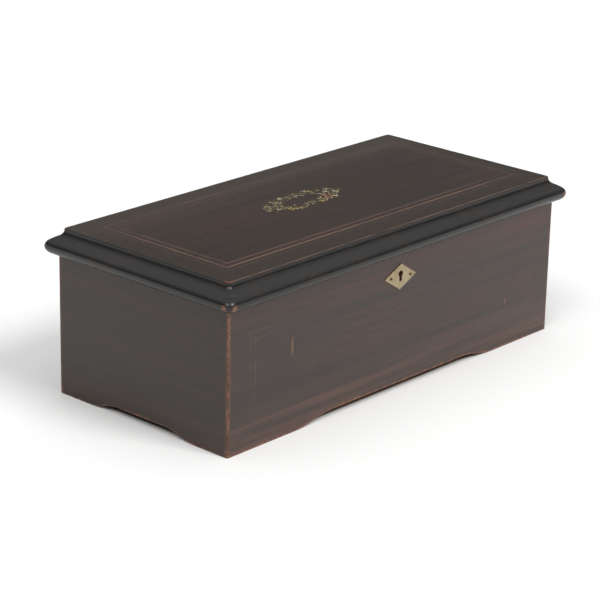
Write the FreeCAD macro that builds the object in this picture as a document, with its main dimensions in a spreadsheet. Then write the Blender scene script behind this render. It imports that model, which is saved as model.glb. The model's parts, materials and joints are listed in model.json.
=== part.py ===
"""Wind-up cylinder music box in its veneered case.

Real size in millimetres, +Z up, standing on Z = 0 and centred on X and Y.
+X runs along the front to the right, +Y runs to the back.
Every physical piece is one node and goes to parts/NODE.step.
"""
import FreeCAD
import Part
import Sketcher
import math
import os
import re
from FreeCAD import Placement, Rotation, Vector

SIZES = (
    ("case_length", 420, "outside length of the case body"),
    ("case_depth", 197, "outside depth of the case body"),
    ("case_height", 125, "height of the case body"),
    ("wall", 12, "thickness of the case boards"),
    ("floor_rise", 10, "underside of the floor board above the table"),
    ("floor_thick", 10, "thickness of the floor board"),
    ("arch_height", 6.3, "height of the cut-outs under the case"),
    ("arch_front", 120.5, "half length of the front and back cut-outs"),
    ("arch_front_run", 29, "length of the curved end of a long cut-out"),
    ("arch_side", 53, "half length of the end cut-outs"),
    ("arch_side_run", 28, "length of the curved end of a short cut-out"),
    ("lid_gap", 0.2, "gap between the case and the closed lid"),
    ("lid_height", 21.4, "height of the lid"),
    ("overhang", 10.2, "lid moulding past the case on each side"),
    ("nose_radius", 6, "radius of the lid bullnose"),
    ("panel_thick", 9.6, "thickness of the lid panel"),
    ("top_inset", 4.6, "edge of the lid panel inside the case face"),
    ("hinge_offset", 1, "hinge axis behind the case back"),
    ("hinge_spread", 120, "hinge centre from the middle of the case"),
    ("knuckle_length", 9, "length of one hinge knuckle"),
    ("knuckle_radius", 2.6, "radius of a hinge knuckle"),
    ("hinge_pin_radius", 1.2, "radius of a hinge pin"),
    ("leaf_thick", 1.6, "thickness of a hinge leaf"),
    ("leaf_width", 9.5, "width of a hinge leaf on the wood"),
    ("running", 0.05, "radial clearance of a shaft in its hole"),
    ("lock_shift", -3, "middle of the lock along the front"),
    ("lock_width", 48, "width of the lock body"),
    ("lock_height", 33, "height of the lock body"),
    ("selvedge_length", 60, "length of the plate on top of the lock"),
    ("keyhole_height", 13.8, "middle of the keyhole round above the foot of the lock"),
    ("keyhole_slot", 6.5, "length of the keyhole slot below the round"),
    ("keyhole_radius", 2.75, "radius of the keyhole round"),
    ("escutcheon_length", 41, "width of the diamond escutcheon"),
    ("escutcheon_height", 23, "height of the diamond escutcheon"),
    ("escutcheon_tilt", 3.5, "turn of the escutcheon, left end up, degrees"),
    ("escutcheon_thick", 1, "thickness of the escutcheon"),
    ("escutcheon_drop", 2.6, "middle of the escutcheon below the keyhole round"),
    ("escutcheon_pin", 12.6, "escutcheon pin from the middle of the plate"),
    ("bolt_travel", 5, "travel of the lock bolt"),
    ("partition_thick", 6, "thickness of the inner partitions"),
    ("bay_width", 38, "room between a partition and the end board"),
    ("partition_top", 119, "top of the partitions above the table"),
    ("glass_rail", 12, "width of the glass lid rails"),
    ("glass_frame_thick", 8, "thickness of the glass lid frame"),
    ("glass_thick", 2, "thickness of the glass"),
    ("pivot_radius", 1.5, "radius of the glass lid pivots"),
    ("bed_gap", 6, "gap between the bedplate and a partition"),
    ("bed_front_gap", 6.5, "gap between the bedplate and the front board"),
    ("bed_back_gap", 10.5, "gap between the bedplate and the back board"),
    ("bed_corner", 10, "corner radius of the bedplate"),
    ("bed_foot", 6, "height of the bedplate feet"),
    ("bed_thick", 5, "thickness of the bedplate"),
    ("cylinder_back", 6, "cylinder axis behind the middle"),
    ("axis_height", 64, "height of the cylinder axis above the table"),
    ("cylinder_radius", 21, "radius of the music cylinder"),
    ("cylinder_length", 146, "length of the music cylinder"),
    ("pin_height", 1.1, "height of the cylinder pins"),
    ("arbor_radius", 3, "radius of the cylinder arbor"),
    ("tune_step", 0.4, "cylinder shift from one tune to the next"),
    ("snail_room", 6, "room for the tune snail beside the cylinder"),
    ("shift_room", 17, "free arbor between the left cock and the cylinder"),
    ("end_gap", 3, "gap between a partition and the ratchet beside it"),
    ("ratchet_width", 3.5, "width of the click wheel and the lever ratchet"),
    ("cock_gap", 3.5, "gap between the click wheel and its cock"),
    ("cock_thick", 5, "thickness of the cocks"),
    ("side_gap", 2.5, "gap between a wheel and the cock beside it"),
    ("barrel_gap", 6, "gap between the left cock and the spring barrel"),
    ("barrel_width", 25, "width of the spring barrel"),
    ("barrel_wheel_width", 4, "width of the barrel wheel"),
    ("great_width", 3, "width of the great wheel"),
    ("great_gap", 7, "gap between the great wheel and the right cock"),
    ("governor_reach", 22.5, "governor frame from the great wheel"),
    ("governor_width", 27.5, "width inside the governor, left plate included"),
    ("governor_rise", 20.7, "top of the governor plates above the worm wheel"),
    ("governor_plate_thick", 2.5, "thickness of the governor plates"),
    ("pinion_leaves", 12, "leaves of each pinion"),
    ("barrel_teeth", 50, "teeth of the barrel wheel"),
    ("barrel_module", 1.2, "module of the barrel wheel"),
    ("great_teeth", 50, "teeth of the great wheel"),
    ("great_module", 1, "module of the great wheel"),
    ("first_teeth", 42, "teeth of the first governor wheel"),
    ("first_module", 0.7, "module of the first governor wheel"),
    ("second_teeth", 20, "teeth of the second governor wheel"),
    ("second_module", 0.7, "module of the second governor wheel"),
    ("mesh_slack", 0.1, "centre distance added to each gear pair"),
    ("backlash", 0.12, "share of the tooth taken off for backlash"),
    ("worm_radius", 2.2, "pitch radius of the endless screw"),
    ("fan_radius", 9.5, "radius of the air-brake wings"),
    ("fan_height", 10.5, "height of the air-brake wings"),
    ("barrel_radius", 26.5, "radius of the spring barrel"),
    ("winding_radius", 4, "radius of the winding arbor"),
    ("lever_reach", 92, "length of the winding lever"),
    ("lever_rest", 20, "winding lever below level at rest, degrees"),
    ("lever_thick", 4, "thickness of the winding lever"),
    ("grip_length", 21, "length of the winding grip"),
    ("comb_length", 142, "length of the comb"),
    ("comb_inset", 2, "left end of the comb inside the end of the cylinder"),
    ("comb_base_depth", 30, "depth of the comb base"),
    ("comb_thick", 2.4, "thickness of the comb"),
    ("comb_teeth", 44, "teeth of the comb"),
    ("tip_gap", 0.4, "comb tips off the circle of the pins"),
    ("control_reach", 44, "control knob from the lever pivot"),
    ("control_rise", 30, "control levers above the bedplate"),
    ("knob_room", 12, "control knob from the outer face of the partition"),
    ("knob_radius", 3.6, "radius of the control knobs"),
)

doc = FreeCAD.newDocument("music_box")
sheet = doc.addObject("Spreadsheet::Sheet", "dims")
for row, (alias, value, note) in enumerate(SIZES, 1):
    sheet.set(f"A{row}", note)
    sheet.set(f"B{row}", str(value))
    sheet.setAlias(f"B{row}", alias)
doc.recompute()

ALIASES = re.compile(r"\b(" + "|".join(alias for alias, value, note in SIZES) + r")\b")
PLANES = {"XY": "XY_Plane", "XZ": "XZ_Plane", "YZ": "YZ_Plane"}
TURNS = {
    "X": Rotation(Vector(0, 1, 0), 90),
    "Y": Rotation(Vector(1, 0, 0), -90),
    "Z": Rotation(),
}
nodes = []


def num(text):
    """Value of a length given as a number or as words of the sheet."""
    if isinstance(text, str):
        return float(sheet.evalExpression(text))
    return float(text)


def bind(thing, prop, text):
    """Set a property, bound to the sheet where the length names a cell."""
    if isinstance(text, str) and ALIASES.search(text):
        thing.setExpression(prop, ALIASES.sub(r"dims.\1", text))
    elif prop.startswith(".Placement.Base."):
        base = thing.Placement.Base
        setattr(base, prop[-1], num(text))
        thing.Placement = Placement(base, thing.Placement.Rotation)
    elif prop.startswith("AttachmentOffset"):
        thing.AttachmentOffset = Placement(Vector(0, 0, num(text)), Rotation())
    else:
        setattr(thing, prop, num(text))


def place(thing, corner):
    for axis, text in zip("xyz", corner):
        bind(thing, ".Placement.Base." + axis, text)


def box(name, corner, extent):
    thing = doc.addObject("Part::Box", name)
    for prop, text in zip(("Length", "Width", "Height"), extent):
        bind(thing, prop, text)
    place(thing, corner)
    return thing


def rod(name, base, radius, length, axis="X"):
    thing = doc.addObject("Part::Cylinder", name)
    thing.Placement = Placement(Vector(), TURNS[axis])
    bind(thing, "Radius", radius)
    bind(thing, "Height", length)
    place(thing, base)
    return thing


def fuse(name, shapes):
    thing = doc.addObject("Part::MultiFuse", name)
    thing.Shapes = shapes
    return thing


def cut(name, base, tools):
    thing = doc.addObject("Part::Cut", name)
    thing.Base = base
    thing.Tool = tools[0] if len(tools) == 1 else fuse(name + "_cutters", tools)
    return thing


def group(name, shapes):
    thing = doc.addObject("Part::Compound", name)
    thing.Links = shapes
    return thing


def feature(name, shape):
    thing = doc.addObject("Part::Feature", name)
    thing.Shape = shape
    return thing


def draw_loop(sketch, loop):
    """Closed outline whose corners, and arc radii, are bound to the sheet.

    A corner is (x, y), or (x, y, radius, turn) where an arc leaves it.
    """
    spots = [(num(corner[0]), num(corner[1])) for corner in loop]
    ends = []
    for index, corner in enumerate(loop):
        ax, ay = spots[index]
        bx, by = spots[(index + 1) % len(loop)]
        if len(corner) == 2:
            line = Part.LineSegment(Vector(ax, ay, 0), Vector(bx, by, 0))
            ends.append((sketch.addGeometry(line), 1, 2))
            continue
        radius, turn = num(corner[2]), corner[3]
        span = math.hypot(bx - ax, by - ay)
        lift = turn * math.sqrt(max(radius * radius - span * span / 4, 0)) / span
        cx = (ax + bx) / 2 - (by - ay) * lift
        cy = (ay + by) / 2 + (bx - ax) * lift
        start = math.atan2(ay - cy, ax - cx)
        stop = math.atan2(by - cy, bx - cx)
        circle = Part.Circle(Vector(cx, cy, 0), Vector(0, 0, 1), radius)
        if turn > 0:
            arc = Part.ArcOfCircle(circle, start, stop if stop > start else stop + 2 * math.pi)
            ends.append((sketch.addGeometry(arc), 1, 2))
        else:
            arc = Part.ArcOfCircle(circle, stop, start if start > stop else start + 2 * math.pi)
            ends.append((sketch.addGeometry(arc), 2, 1))
    for index, (geo, first, last) in enumerate(ends):
        follow = ends[(index + 1) % len(ends)]
        sketch.addConstraint(Sketcher.Constraint("Coincident", geo, last, follow[0], follow[1]))
    for index, corner in enumerate(loop):
        geo, first, last = ends[index]
        for kind, text, value in zip(("DistanceX", "DistanceY"), corner, spots[index]):
            number = sketch.addConstraint(Sketcher.Constraint(kind, -1, 1, geo, first, value))
            if isinstance(text, str) and ALIASES.search(text):
                sketch.setExpression(f"Constraints[{number}]", ALIASES.sub(r"dims.\1", text))
        if len(corner) == 4:
            number = sketch.addConstraint(Sketcher.Constraint("Radius", geo, num(corner[2])))
            if isinstance(corner[2], str) and ALIASES.search(corner[2]):
                sketch.setExpression(f"Constraints[{number}]", ALIASES.sub(r"dims.\1", corner[2]))


def draw_circle(sketch, x, y, radius):
    circle = Part.Circle(Vector(num(x), num(y), 0), Vector(0, 0, 1), num(radius))
    geo = sketch.addGeometry(circle)
    for kind, text in (("DistanceX", x), ("DistanceY", y)):
        number = sketch.addConstraint(Sketcher.Constraint(kind, -1, 1, geo, 3, num(text)))
        if isinstance(text, str) and ALIASES.search(text):
            sketch.setExpression(f"Constraints[{number}]", ALIASES.sub(r"dims.\1", text))
    number = sketch.addConstraint(Sketcher.Constraint("Radius", geo, num(radius)))
    if isinstance(radius, str) and ALIASES.search(radius):
        sketch.setExpression(f"Constraints[{number}]", ALIASES.sub(r"dims.\1", radius))


def draw(body, name, plane, offset, loops):
    """Sketch on one of the body's own origin planes, moved along its normal."""
    sketch = body.newObject("Sketcher::SketchObject", name)
    origin = next(item for item in body.Origin.OriginFeatures if item.Role == PLANES[plane])
    sketch.AttachmentSupport = (origin, "")
    sketch.MapMode = "FlatFace"
    bind(sketch, "AttachmentOffset.Base.z", offset)
    for loop in loops:
        if loop[0] == "circle":
            draw_circle(sketch, *loop[1:])
        else:
            draw_loop(sketch, loop)
    return sketch


def pad(name, plane, offset, length, loops, both=False):
    """New body padded from an outline along the plane's normal."""
    body = doc.addObject("PartDesign::Body", name)
    made = body.newObject("PartDesign::Pad", name + "_pad")
    made.Profile = draw(body, name + "_outline", plane, offset, loops)
    bind(made, "Length", length)
    if both:
        made.SideType = "Symmetric"
    doc.recompute()
    return body


def pocket(body, name, plane, loops):
    """Cut outlines right through a body, both ways from its origin plane."""
    before = body.Shape.Volume
    made = body.newObject("PartDesign::Pocket", name)
    made.Profile = draw(body, name + "_outline", plane, 0, loops)
    made.Type = "ThroughAll"
    made.SideType = "Symmetric"
    doc.recompute()
    if body.Shape.Volume >= before:
        raise RuntimeError(f"{name} removes nothing")
    return body


def revolve(name, plane, offset, loop, axis):
    """New body turned about an axis of its own sketch."""
    body = doc.addObject("PartDesign::Body", name)
    sketch = draw(body, name + "_profile", plane, offset, [loop])
    made = body.newObject("PartDesign::Revolution", name + "_turn")
    made.Profile = sketch
    made.ReferenceAxis = (sketch, [axis])
    made.Angle = 360
    doc.recompute()
    return body


def keep(thing):
    """Hand a finished piece in as one node."""
    nodes.append(thing)
    return thing


def polar(radius, degrees):
    return radius * math.cos(math.radians(degrees)), radius * math.sin(math.radians(degrees))


def prism(points, start, length):
    """Solid from an outline in Y and Z, run along X."""
    corners = [Vector(start, y, z) for y, z in points]
    return Part.Face(Part.makePolygon(corners + corners[:1])).extrude(Vector(length, 0, 0))


def gear_outline(module, teeth, centre, phase, thin):
    """Stub involute teeth, three points to a flank; a tooth stands at the phase angle."""
    pressure = math.radians(22.5)
    radius = module * teeth / 2
    base = radius * math.cos(pressure)
    spread = math.tan(pressure) - pressure
    points = []
    for tooth in range(int(teeth)):
        middle = math.radians(phase) + 2 * math.pi * tooth / teeth
        flank = []
        for reach in (radius - 1.05 * module, radius, radius + 0.8 * module):
            slope = math.acos(min(base / max(reach, base), 1))
            half = math.pi / 2 / teeth * (1 - thin) + spread - (math.tan(slope) - slope)
            flank.append((reach, half))
        for reach, half in flank:
            points.append((reach, middle - half))
        for reach, half in reversed(flank):
            points.append((reach, middle + half))
    return [(centre[0] + r * math.cos(a), centre[1] + r * math.sin(a)) for r, a in points]


def ratchet_outline(tip, root, teeth, centre, phase):
    """Saw teeth whose steep faces stand at the phase angle and look clockwise."""
    points = []
    for tooth in range(teeth):
        turn = phase + 360 * tooth / teeth
        for radius, shift in ((root, 0), (tip, 0)):
            y, z = polar(radius, turn + shift)
            points.append((centre[0] + y, centre[1] + z))
    return points


# Case boards, mitred at the corners, with a serpentine cut-out under each

half_x = "case_length/2"
half_y = "case_depth/2"
partition_out = f"({half_x} - wall - bay_width)"
partition_in = f"({partition_out} - partition_thick)"
bed_half = f"({partition_in} - bed_gap)"
bed_front = f"({half_y} - wall - bed_front_gap)"
bed_back = f"({half_y} - wall - bed_back_gap)"


def arch(half, run):
    """Shallow cut-out with S-shaped ends, drawn from the table line up."""
    bend = f"(({run})/2*({run})/2 + arch_height/2*arch_height/2)/arch_height"
    return [
        (f"-{half}", 0, bend, 1),
        (f"-{half} + {run}/2", "arch_height/2", bend, -1),
        (f"-{half} + {run}", "arch_height"),
        (f"{half} - {run}", "arch_height", bend, -1),
        (f"{half} - {run}/2", "arch_height/2", bend, 1),
        (half, 0),
    ]


def long_board(name, side):
    """Front board for side -1, back board for side 1."""
    sign = "-" if side < 0 else ""
    body = pad(name, "XY", 0, "case_height", [[
        (f"-{half_x}", f"{sign}{half_y}"),
        (half_x, f"{sign}{half_y}"),
        (f"{half_x} - wall", f"{sign}({half_y} - wall)"),
        (f"-{half_x} + wall", f"{sign}({half_y} - wall)"),
    ]])
    return pocket(body, name + "_arch", "XZ", [arch("arch_front", "arch_front_run")])


def end_board(name, side):
    """Left end board for side -1, right end board for side 1."""
    sign = "-" if side < 0 else ""
    body = pad(name, "XY", 0, "case_height", [[
        (f"{sign}{half_x}", f"-{half_y}"),
        (f"{sign}{half_x}", half_y),
        (f"{sign}({half_x} - wall)", f"{half_y} - wall"),
        (f"{sign}({half_x} - wall)", f"-{half_y} + wall"),
    ]])
    return pocket(body, name + "_arch", "YZ", [arch("arch_side", "arch_side_run")])


keep(end_board("left_end_board", -1))
keep(end_board("right_end_board", 1))

floor_top = "(floor_rise + floor_thick)"
foot_spots = [
    (f"{x}*({bed_half} - bed_corner - 2)", y)
    for x in (-1, 1)
    for y in (f"-{bed_front} + bed_corner + 4", f"{bed_back} - bed_corner - 2")
]
floor_cutters = []
for number, (x, y) in enumerate(foot_spots, 1):
    floor_cutters.append(rod(f"floor_hole_{number}", (x, y, 0), 2, "floor_rise + floor_thick + 1", "Z"))
    floor_cutters.append(rod(f"floor_sink_{number}", (x, y, 0), 4.6, "floor_rise + 2.6", "Z"))
floor_blank = box(
    "floor_blank",
    (f"-{half_x} + wall", f"-{half_y} + wall", "floor_rise"),
    ("case_length - 2*wall", "case_depth - 2*wall", "floor_thick"),
)
keep(cut("floor_board", floor_blank, floor_cutters))

# Lock, keyhole and escutcheon in the front board

lock_front = f"-{half_y} + 3.5"
lock_deep = "wall - 3.5"
lock_foot = "(case_height - lock_height)"
keyhole_z = f"({lock_foot} + keyhole_height)"


def keyhole(name, start, length):
    """Round and slot of the keyhole, run along Y."""
    top = rod(name + "_round", ("lock_shift", start, keyhole_z), "keyhole_radius", length, "Y")
    slot = box(
        name + "_slot",
        ("lock_shift - 0.6*keyhole_radius", start, f"{keyhole_z} - keyhole_slot"),
        ("1.2*keyhole_radius", length, "keyhole_slot"),
    )
    return fuse(name, [top, slot])


lock_mortise = box(
    "lock_mortise",
    ("lock_shift - lock_width/2", lock_front, lock_foot),
    ("lock_width", lock_deep, "lock_height"),
)
selvedge_mortise = box(
    "selvedge_mortise",
    ("lock_shift - selvedge_length/2", f"-{half_y} + 1.5", "case_height - leaf_thick"),
    ("selvedge_length", "wall - 1.5", "leaf_thick"),
)
keep(cut("front_board", long_board("front_blank", -1), [
    lock_mortise,
    selvedge_mortise,
    keyhole("board_keyhole", f"-{half_y} - 1", 6),
]))

lock_block = box(
    "lock_block",
    ("lock_shift - lock_width/2", lock_front, lock_foot),
    ("lock_width", lock_deep, "lock_height"),
)
selvedge = box(
    "selvedge",
    ("lock_shift - selvedge_length/2", f"-{half_y} + 1.5", "case_height - leaf_thick"),
    ("selvedge_length", "wall - 1.5", "leaf_thick"),
)
bolt_room = box(
    "bolt_room",
    ("lock_shift - 20", f"{lock_front} + 1", "case_height - 10.6"),
    ("29 + bolt_travel", "wall - 5.5", "10.6 - leaf_thick"),
)
staple_slot = box(
    "staple_slot",
    ("lock_shift + 2", f"{lock_front} + 1", "case_height - 8"),
    (7, "wall - 5.5", 9),
)
key_room = box(
    "key_room",
    ("lock_shift - 9", f"{lock_front} + 1", f"{lock_foot} + 3.5"),
    (12, "wall - 5.5", "lock_height - 11"),
)
keep(cut("lock_case", fuse("lock_solid", [lock_block, selvedge]), [
    bolt_room,
    staple_slot,
    key_room,
    keyhole("lock_keyhole", f"{lock_front} - 1", 3),
]))

bolt_middle = f"({lock_front} + 1 + (wall - 5.5)/2)"
bolt_tail = box(
    "bolt_tail",
    ("lock_shift - 19", f"{lock_front} + 1.1", "case_height - 10.5"),
    (11, "wall - 5.7", 6.5),
)
bolt_tip = box(
    "bolt_tip",
    ("lock_shift - 9", f"{bolt_middle} - 1.5", "case_height - 8.2"),
    (12.4, 3, 4),
)
keep(fuse("lock_bolt", [bolt_tail, bolt_tip]))

plate_height = f"({keyhole_z} - escutcheon_drop)"
tilt = math.radians(num("escutcheon_tilt"))


def tilted(along, up):
    """Spot on the tilted escutcheon, across and up from its middle."""
    x = num("lock_shift") + along * math.cos(tilt) + up * math.sin(tilt)
    return x, num(plate_height) - along * math.sin(tilt) + up * math.cos(tilt)


plate_blank = pad("escutcheon_blank", "XZ", half_y, "escutcheon_thick", [[
    tilted(-num("escutcheon_length/2"), 0),
    tilted(0, -num("escutcheon_height/2")),
    tilted(num("escutcheon_length/2"), 0),
    tilted(0, num("escutcheon_height/2")),
]])
pin_spots = [tilted(side * num("escutcheon_pin"), 0) for side in (-1, 1)]
keep(cut("escutcheon", plate_blank, [
    keyhole("plate_keyhole", f"-{half_y} - 5", 10),
    *(
        rod(f"plate_pin_hole_{number}", (x, f"-{half_y} - 3", z), 0.7, 5, "Y")
        for number, (x, z) in enumerate(pin_spots, 1)
    ),
]))
plate_pins = []
for number, (x, z) in enumerate(pin_spots, 1):
    face = f"-{half_y} - escutcheon_thick"
    shank = rod(f"plate_pin_shank_{number}", (x, face, z), 0.7, "escutcheon_thick", "Y")
    head = rod(f"plate_pin_head_{number}", (x, f"{face} - 0.5", z), 1.2, 0.5, "Y")
    plate_pins.append(fuse(f"plate_pin_{number}", [shank, head]))
keep(group("escutcheon_pins", plate_pins))

# Lid: a panel held in four mitred mouldings

lid_foot = "(case_height + lid_gap)"
ledge = "(lid_height - panel_thick)"
nose_x = num("nose_radius") * math.cos(math.radians(66))
nose_z = num("nose_radius") * math.sin(math.radians(66))


def moulding_loop(side, half):
    """Moulding profile past one case face, drawn outward for side 1 and mirrored for side -1."""
    profile = [
        ("-wall", "0"),
        ("overhang - nose_radius", "0", "nose_radius", 1),
        (f"overhang - nose_radius + {nose_x:.4f}", f"nose_radius + {nose_z:.4f}"),
        ("0.8", "lid_height - 6.8", 7.2, -1),
        ("-2.9", "lid_height - 0.8", 0.8, 1),
        ("-3.7", "lid_height"),
        ("-top_inset", "lid_height"),
        ("-top_inset", ledge),
        ("-wall", ledge),
    ]
    loop = []
    for corner in profile:
        out = f"{half} + ({corner[0]})"
        spot = (out if side > 0 else f"-({out})", f"{lid_foot} + ({corner[1]})")
        loop.append(spot if len(corner) == 2 else spot + (corner[2], side * corner[3]))
    return loop


def moulding(name, plane, side):
    """One lid moulding, mitred at both ends; plane YZ runs along X, XZ along Y."""
    along, across = (half_x, half_y) if plane == "YZ" else (half_y, half_x)
    body = pad(name, plane, 0, f"2*({along} + overhang)", [moulding_loop(side, across)], both=True)
    corners = []
    for end in (-1, 1):
        outer = f"{end}*({along} + overhang)"
        inner = f"{end}*({along} - wall)"
        far = f"{side}*({across} + overhang)"
        near = f"{side}*({across} - wall)"
        loop = [(outer, far), (inner, near), (outer, near)]
        corners.append(loop if plane == "YZ" else [(y, x) for x, y in loop])
    return pocket(body, name + "_mitre", "XY", corners)


keep(moulding("lid_moulding_left", "XZ", -1))
keep(moulding("lid_moulding_right", "XZ", 1))
keep(box(
    "lid_panel",
    (f"-{half_x} + top_inset", f"-{half_y} + top_inset", f"{lid_foot} + {ledge}"),
    ("case_length - 2*top_inset", "case_depth - 2*top_inset", "panel_thick"),
))
keep(box(
    "tune_card",
    (-110, -45, f"{lid_foot} + {ledge} - 0.6"),
    (220, 90, 0.6),
))

# Lid catch, let into the front moulding, with a staple for the bolt

catch_mortise = box(
    "catch_mortise",
    ("lock_shift - 16", f"-{half_y} + 2.5", lid_foot),
    (32, "wall - 2.5", "leaf_thick"),
)
keep(cut("lid_moulding_front", moulding("front_moulding_blank", "YZ", -1), [catch_mortise]))
catch_plate = box(
    "catch_plate",
    ("lock_shift - 16", f"-{half_y} + 2.5", lid_foot),
    (32, "wall - 2.5", "leaf_thick"),
)
staple = box(
    "staple",
    ("lock_shift + 4", f"{bolt_middle} - 2.8", "case_height - 10.2"),
    (2, 5.6, "10.2 + lid_gap + leaf_thick/2"),
)
staple_window = box(
    "staple_window",
    ("lock_shift + 3", f"{bolt_middle} - 1.9", "case_height - 8.6"),
    (4, 3.8, 4.8),
)
keep(cut("lid_catch", fuse("catch_solid", [catch_plate, staple]), [staple_window]))

# Butt hinges, three knuckles on the case leaf and two on the lid leaf

axis_y = f"({half_y} + hinge_offset)"
axis_z = "(case_height + lid_gap/2)"
hinge_length = "(5*knuckle_length)"
back_cutters = []
lid_cutters = []
case_leaves = []
lid_leaves = []
hinge_pins = []
for side, middle in (("left", "(-hinge_spread)"), ("right", "hinge_spread")):
    start = f"{middle} - {hinge_length}/2"
    room = rod(
        f"knuckle_room_{side}",
        (f"{start} - 0.5", axis_y, axis_z),
        "knuckle_radius + 0.4",
        f"{hinge_length} + 1",
    )
    back_cutters.append(room)
    back_cutters.append(box(
        f"case_leaf_mortise_{side}",
        (start, f"{half_y} - leaf_width", "case_height - leaf_thick"),
        (hinge_length, "leaf_width", "leaf_thick"),
    ))
    lid_cutters.append(room)
    lid_cutters.append(box(
        f"lid_leaf_mortise_{side}",
        (start, f"{half_y} - leaf_width", lid_foot),
        (hinge_length, "leaf_width + hinge_offset", "leaf_thick"),
    ))
    for leaf, owned, height in (("case", (0, 2, 4), "case_height - leaf_thick"), ("lid", (1, 3), lid_foot)):
        flat = box(
            f"{leaf}_leaf_flat_{side}",
            (start, f"{half_y} - leaf_width", height),
            (hinge_length, "leaf_width + hinge_offset", "leaf_thick"),
        )
        gaps = []
        knuckles = []
        for place_number in range(5):
            knuckle_start = f"{start} + {place_number}*knuckle_length"
            spot = f"{leaf}_{side}_{place_number}"
            if place_number in owned:
                knuckles.append(rod(
                    f"knuckle_{spot}",
                    (f"{knuckle_start} + 0.1", axis_y, axis_z),
                    "knuckle_radius",
                    "knuckle_length - 0.2",
                ))
            else:
                gaps.append(rod(
                    f"knuckle_gap_{spot}",
                    (f"{knuckle_start} - 0.1", axis_y, axis_z),
                    "knuckle_radius + 0.3",
                    "knuckle_length + 0.2",
                ))
        cleared = cut(f"{leaf}_leaf_cleared_{side}", flat, gaps)
        solid = fuse(f"{leaf}_leaf_solid_{side}", [cleared] + knuckles)
        bore = "hinge_pin_radius" if leaf == "case" else "hinge_pin_radius + running"
        hole = rod(f"{leaf}_leaf_bore_{side}", (f"{start} - 1", axis_y, axis_z), bore, f"{hinge_length} + 2")
        made = cut(f"{leaf}_leaf_{side}", solid, [hole])
        (case_leaves if leaf == "case" else lid_leaves).append(made)
    hinge_pins.append(rod(f"hinge_pin_{side}", (start, axis_y, axis_z), "hinge_pin_radius", hinge_length))

keep(cut("back_board", long_board("back_blank", 1), back_cutters))
keep(cut("lid_moulding_back", moulding("back_moulding_blank", "YZ", 1), lid_cutters))
keep(group("hinge_case_leaves", case_leaves))
keep(group("hinge_lid_leaves", lid_leaves))
keep(group("hinge_pins", hinge_pins))

# Where the arbors of the movement stand

cyl = (num("cylinder_back"), num("axis_height"))
leaves = int(num("pinion_leaves"))
slack = num("mesh_slack")


def beyond(start, reach, degrees):
    y, z = polar(reach, degrees)
    return start[0] + y, start[1] + z


def pair_reach(module, teeth):
    return num(module) * (num(teeth) + leaves) / 2 + slack


GREAT_ANGLE = 20
FIRST_ANGLE = -10
barrel = beyond(cyl, pair_reach("barrel_module", "barrel_teeth"), 0)
first = beyond(cyl, pair_reach("great_module", "great_teeth"), GREAT_ANGLE)
second = beyond(first, pair_reach("first_module", "first_teeth"), FIRST_ANGLE)
wheel_reach = num("second_module*second_teeth/2")
worm = (second[0] + wheel_reach + num("worm_radius") + slack, second[1])
bed_top = "(floor_rise + floor_thick + bed_foot + bed_thick)"
bed_z = num(bed_top)

# Stations along X: the left train starts at the left partition, the right one at the cylinder

click_x = f"(-{partition_in} + end_gap)"
left_cock_x = f"({click_x} + ratchet_width + cock_gap)"
barrel_x = f"({left_cock_x} + cock_thick + barrel_gap)"
barrel_wheel_x = f"({barrel_x} + barrel_width)"
barrel_cock_x = f"({barrel_wheel_x} + barrel_wheel_width + side_gap)"
pinion_x = f"({barrel_wheel_x} + 0.2)"
pinion_width = "(barrel_wheel_width + 1.3)"
cylinder_cock_x = f"({pinion_x} + {pinion_width} + side_gap)"
cylinder_start = f"({cylinder_cock_x} + cock_thick + shift_room)"
cylinder_end = f"({cylinder_start} + cylinder_length)"
great_x = f"({cylinder_end} + snail_room)"
right_cock_x = f"({great_x} + great_width + great_gap)"
governor_left = f"({great_x} + governor_reach)"
governor_right = f"({governor_left} + governor_width)"
worm_x = num(f"{governor_left} + 16.1")
comb_start = f"({cylinder_start} + comb_inset)"
ratchet_x = f"(-{partition_out} - end_gap - ratchet_width)"
lever_x = f"({ratchet_x} - 1 - lever_thick)"
pivot_x = f"({partition_out} + knob_room - control_reach)"

# Inner partitions and the glass lid between them

glass_axis = (f"({half_y} - wall - 8.5)", "(partition_top - 5)")
sill = f"-{half_y} + wall"


def partition(name, side, cutters):
    start = partition_in if side > 0 else f"-{partition_out}"
    inner = f"{partition_in} - 8" if side > 0 else f"-{partition_in}"
    board = box(
        name + "_sheet",
        (start, sill, floor_top),
        ("partition_thick", "case_depth - 2*wall", f"partition_top - {floor_top}"),
    )
    rest = box(
        name + "_rest",
        (inner, f"{sill} + 10", "partition_top - glass_frame_thick - 9.2"),
        (8, 20, 8),
    )
    socket = rod(name + "_socket", (f"{start} - 1",) + glass_axis, "pivot_radius", "partition_thick + 2")
    return keep(cut(name, fuse(name + "_solid", [board, rest]), cutters + [socket]))


control_height = bed_z + num("control_rise")
start_pivot = (num(pivot_x), -44)
change_pivot = (num(pivot_x), -22)
partition("left_partition", -1, [box(
    "arbor_notch",
    (f"-{partition_out} - 1", barrel[0] - num("winding_radius") - 3, barrel[1] - num("winding_radius") - 3),
    ("partition_thick + 2", "2*winding_radius + 6", "case_height"),
)])
partition("right_partition", 1, [
    box(
        f"{name}_window",
        (f"{partition_in} - 1", spot[1] - 5, control_height - 3),
        ("partition_thick + 2", 20, 8),
    )
    for name, spot in (("start", start_pivot), ("change", change_pivot))
])

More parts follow.
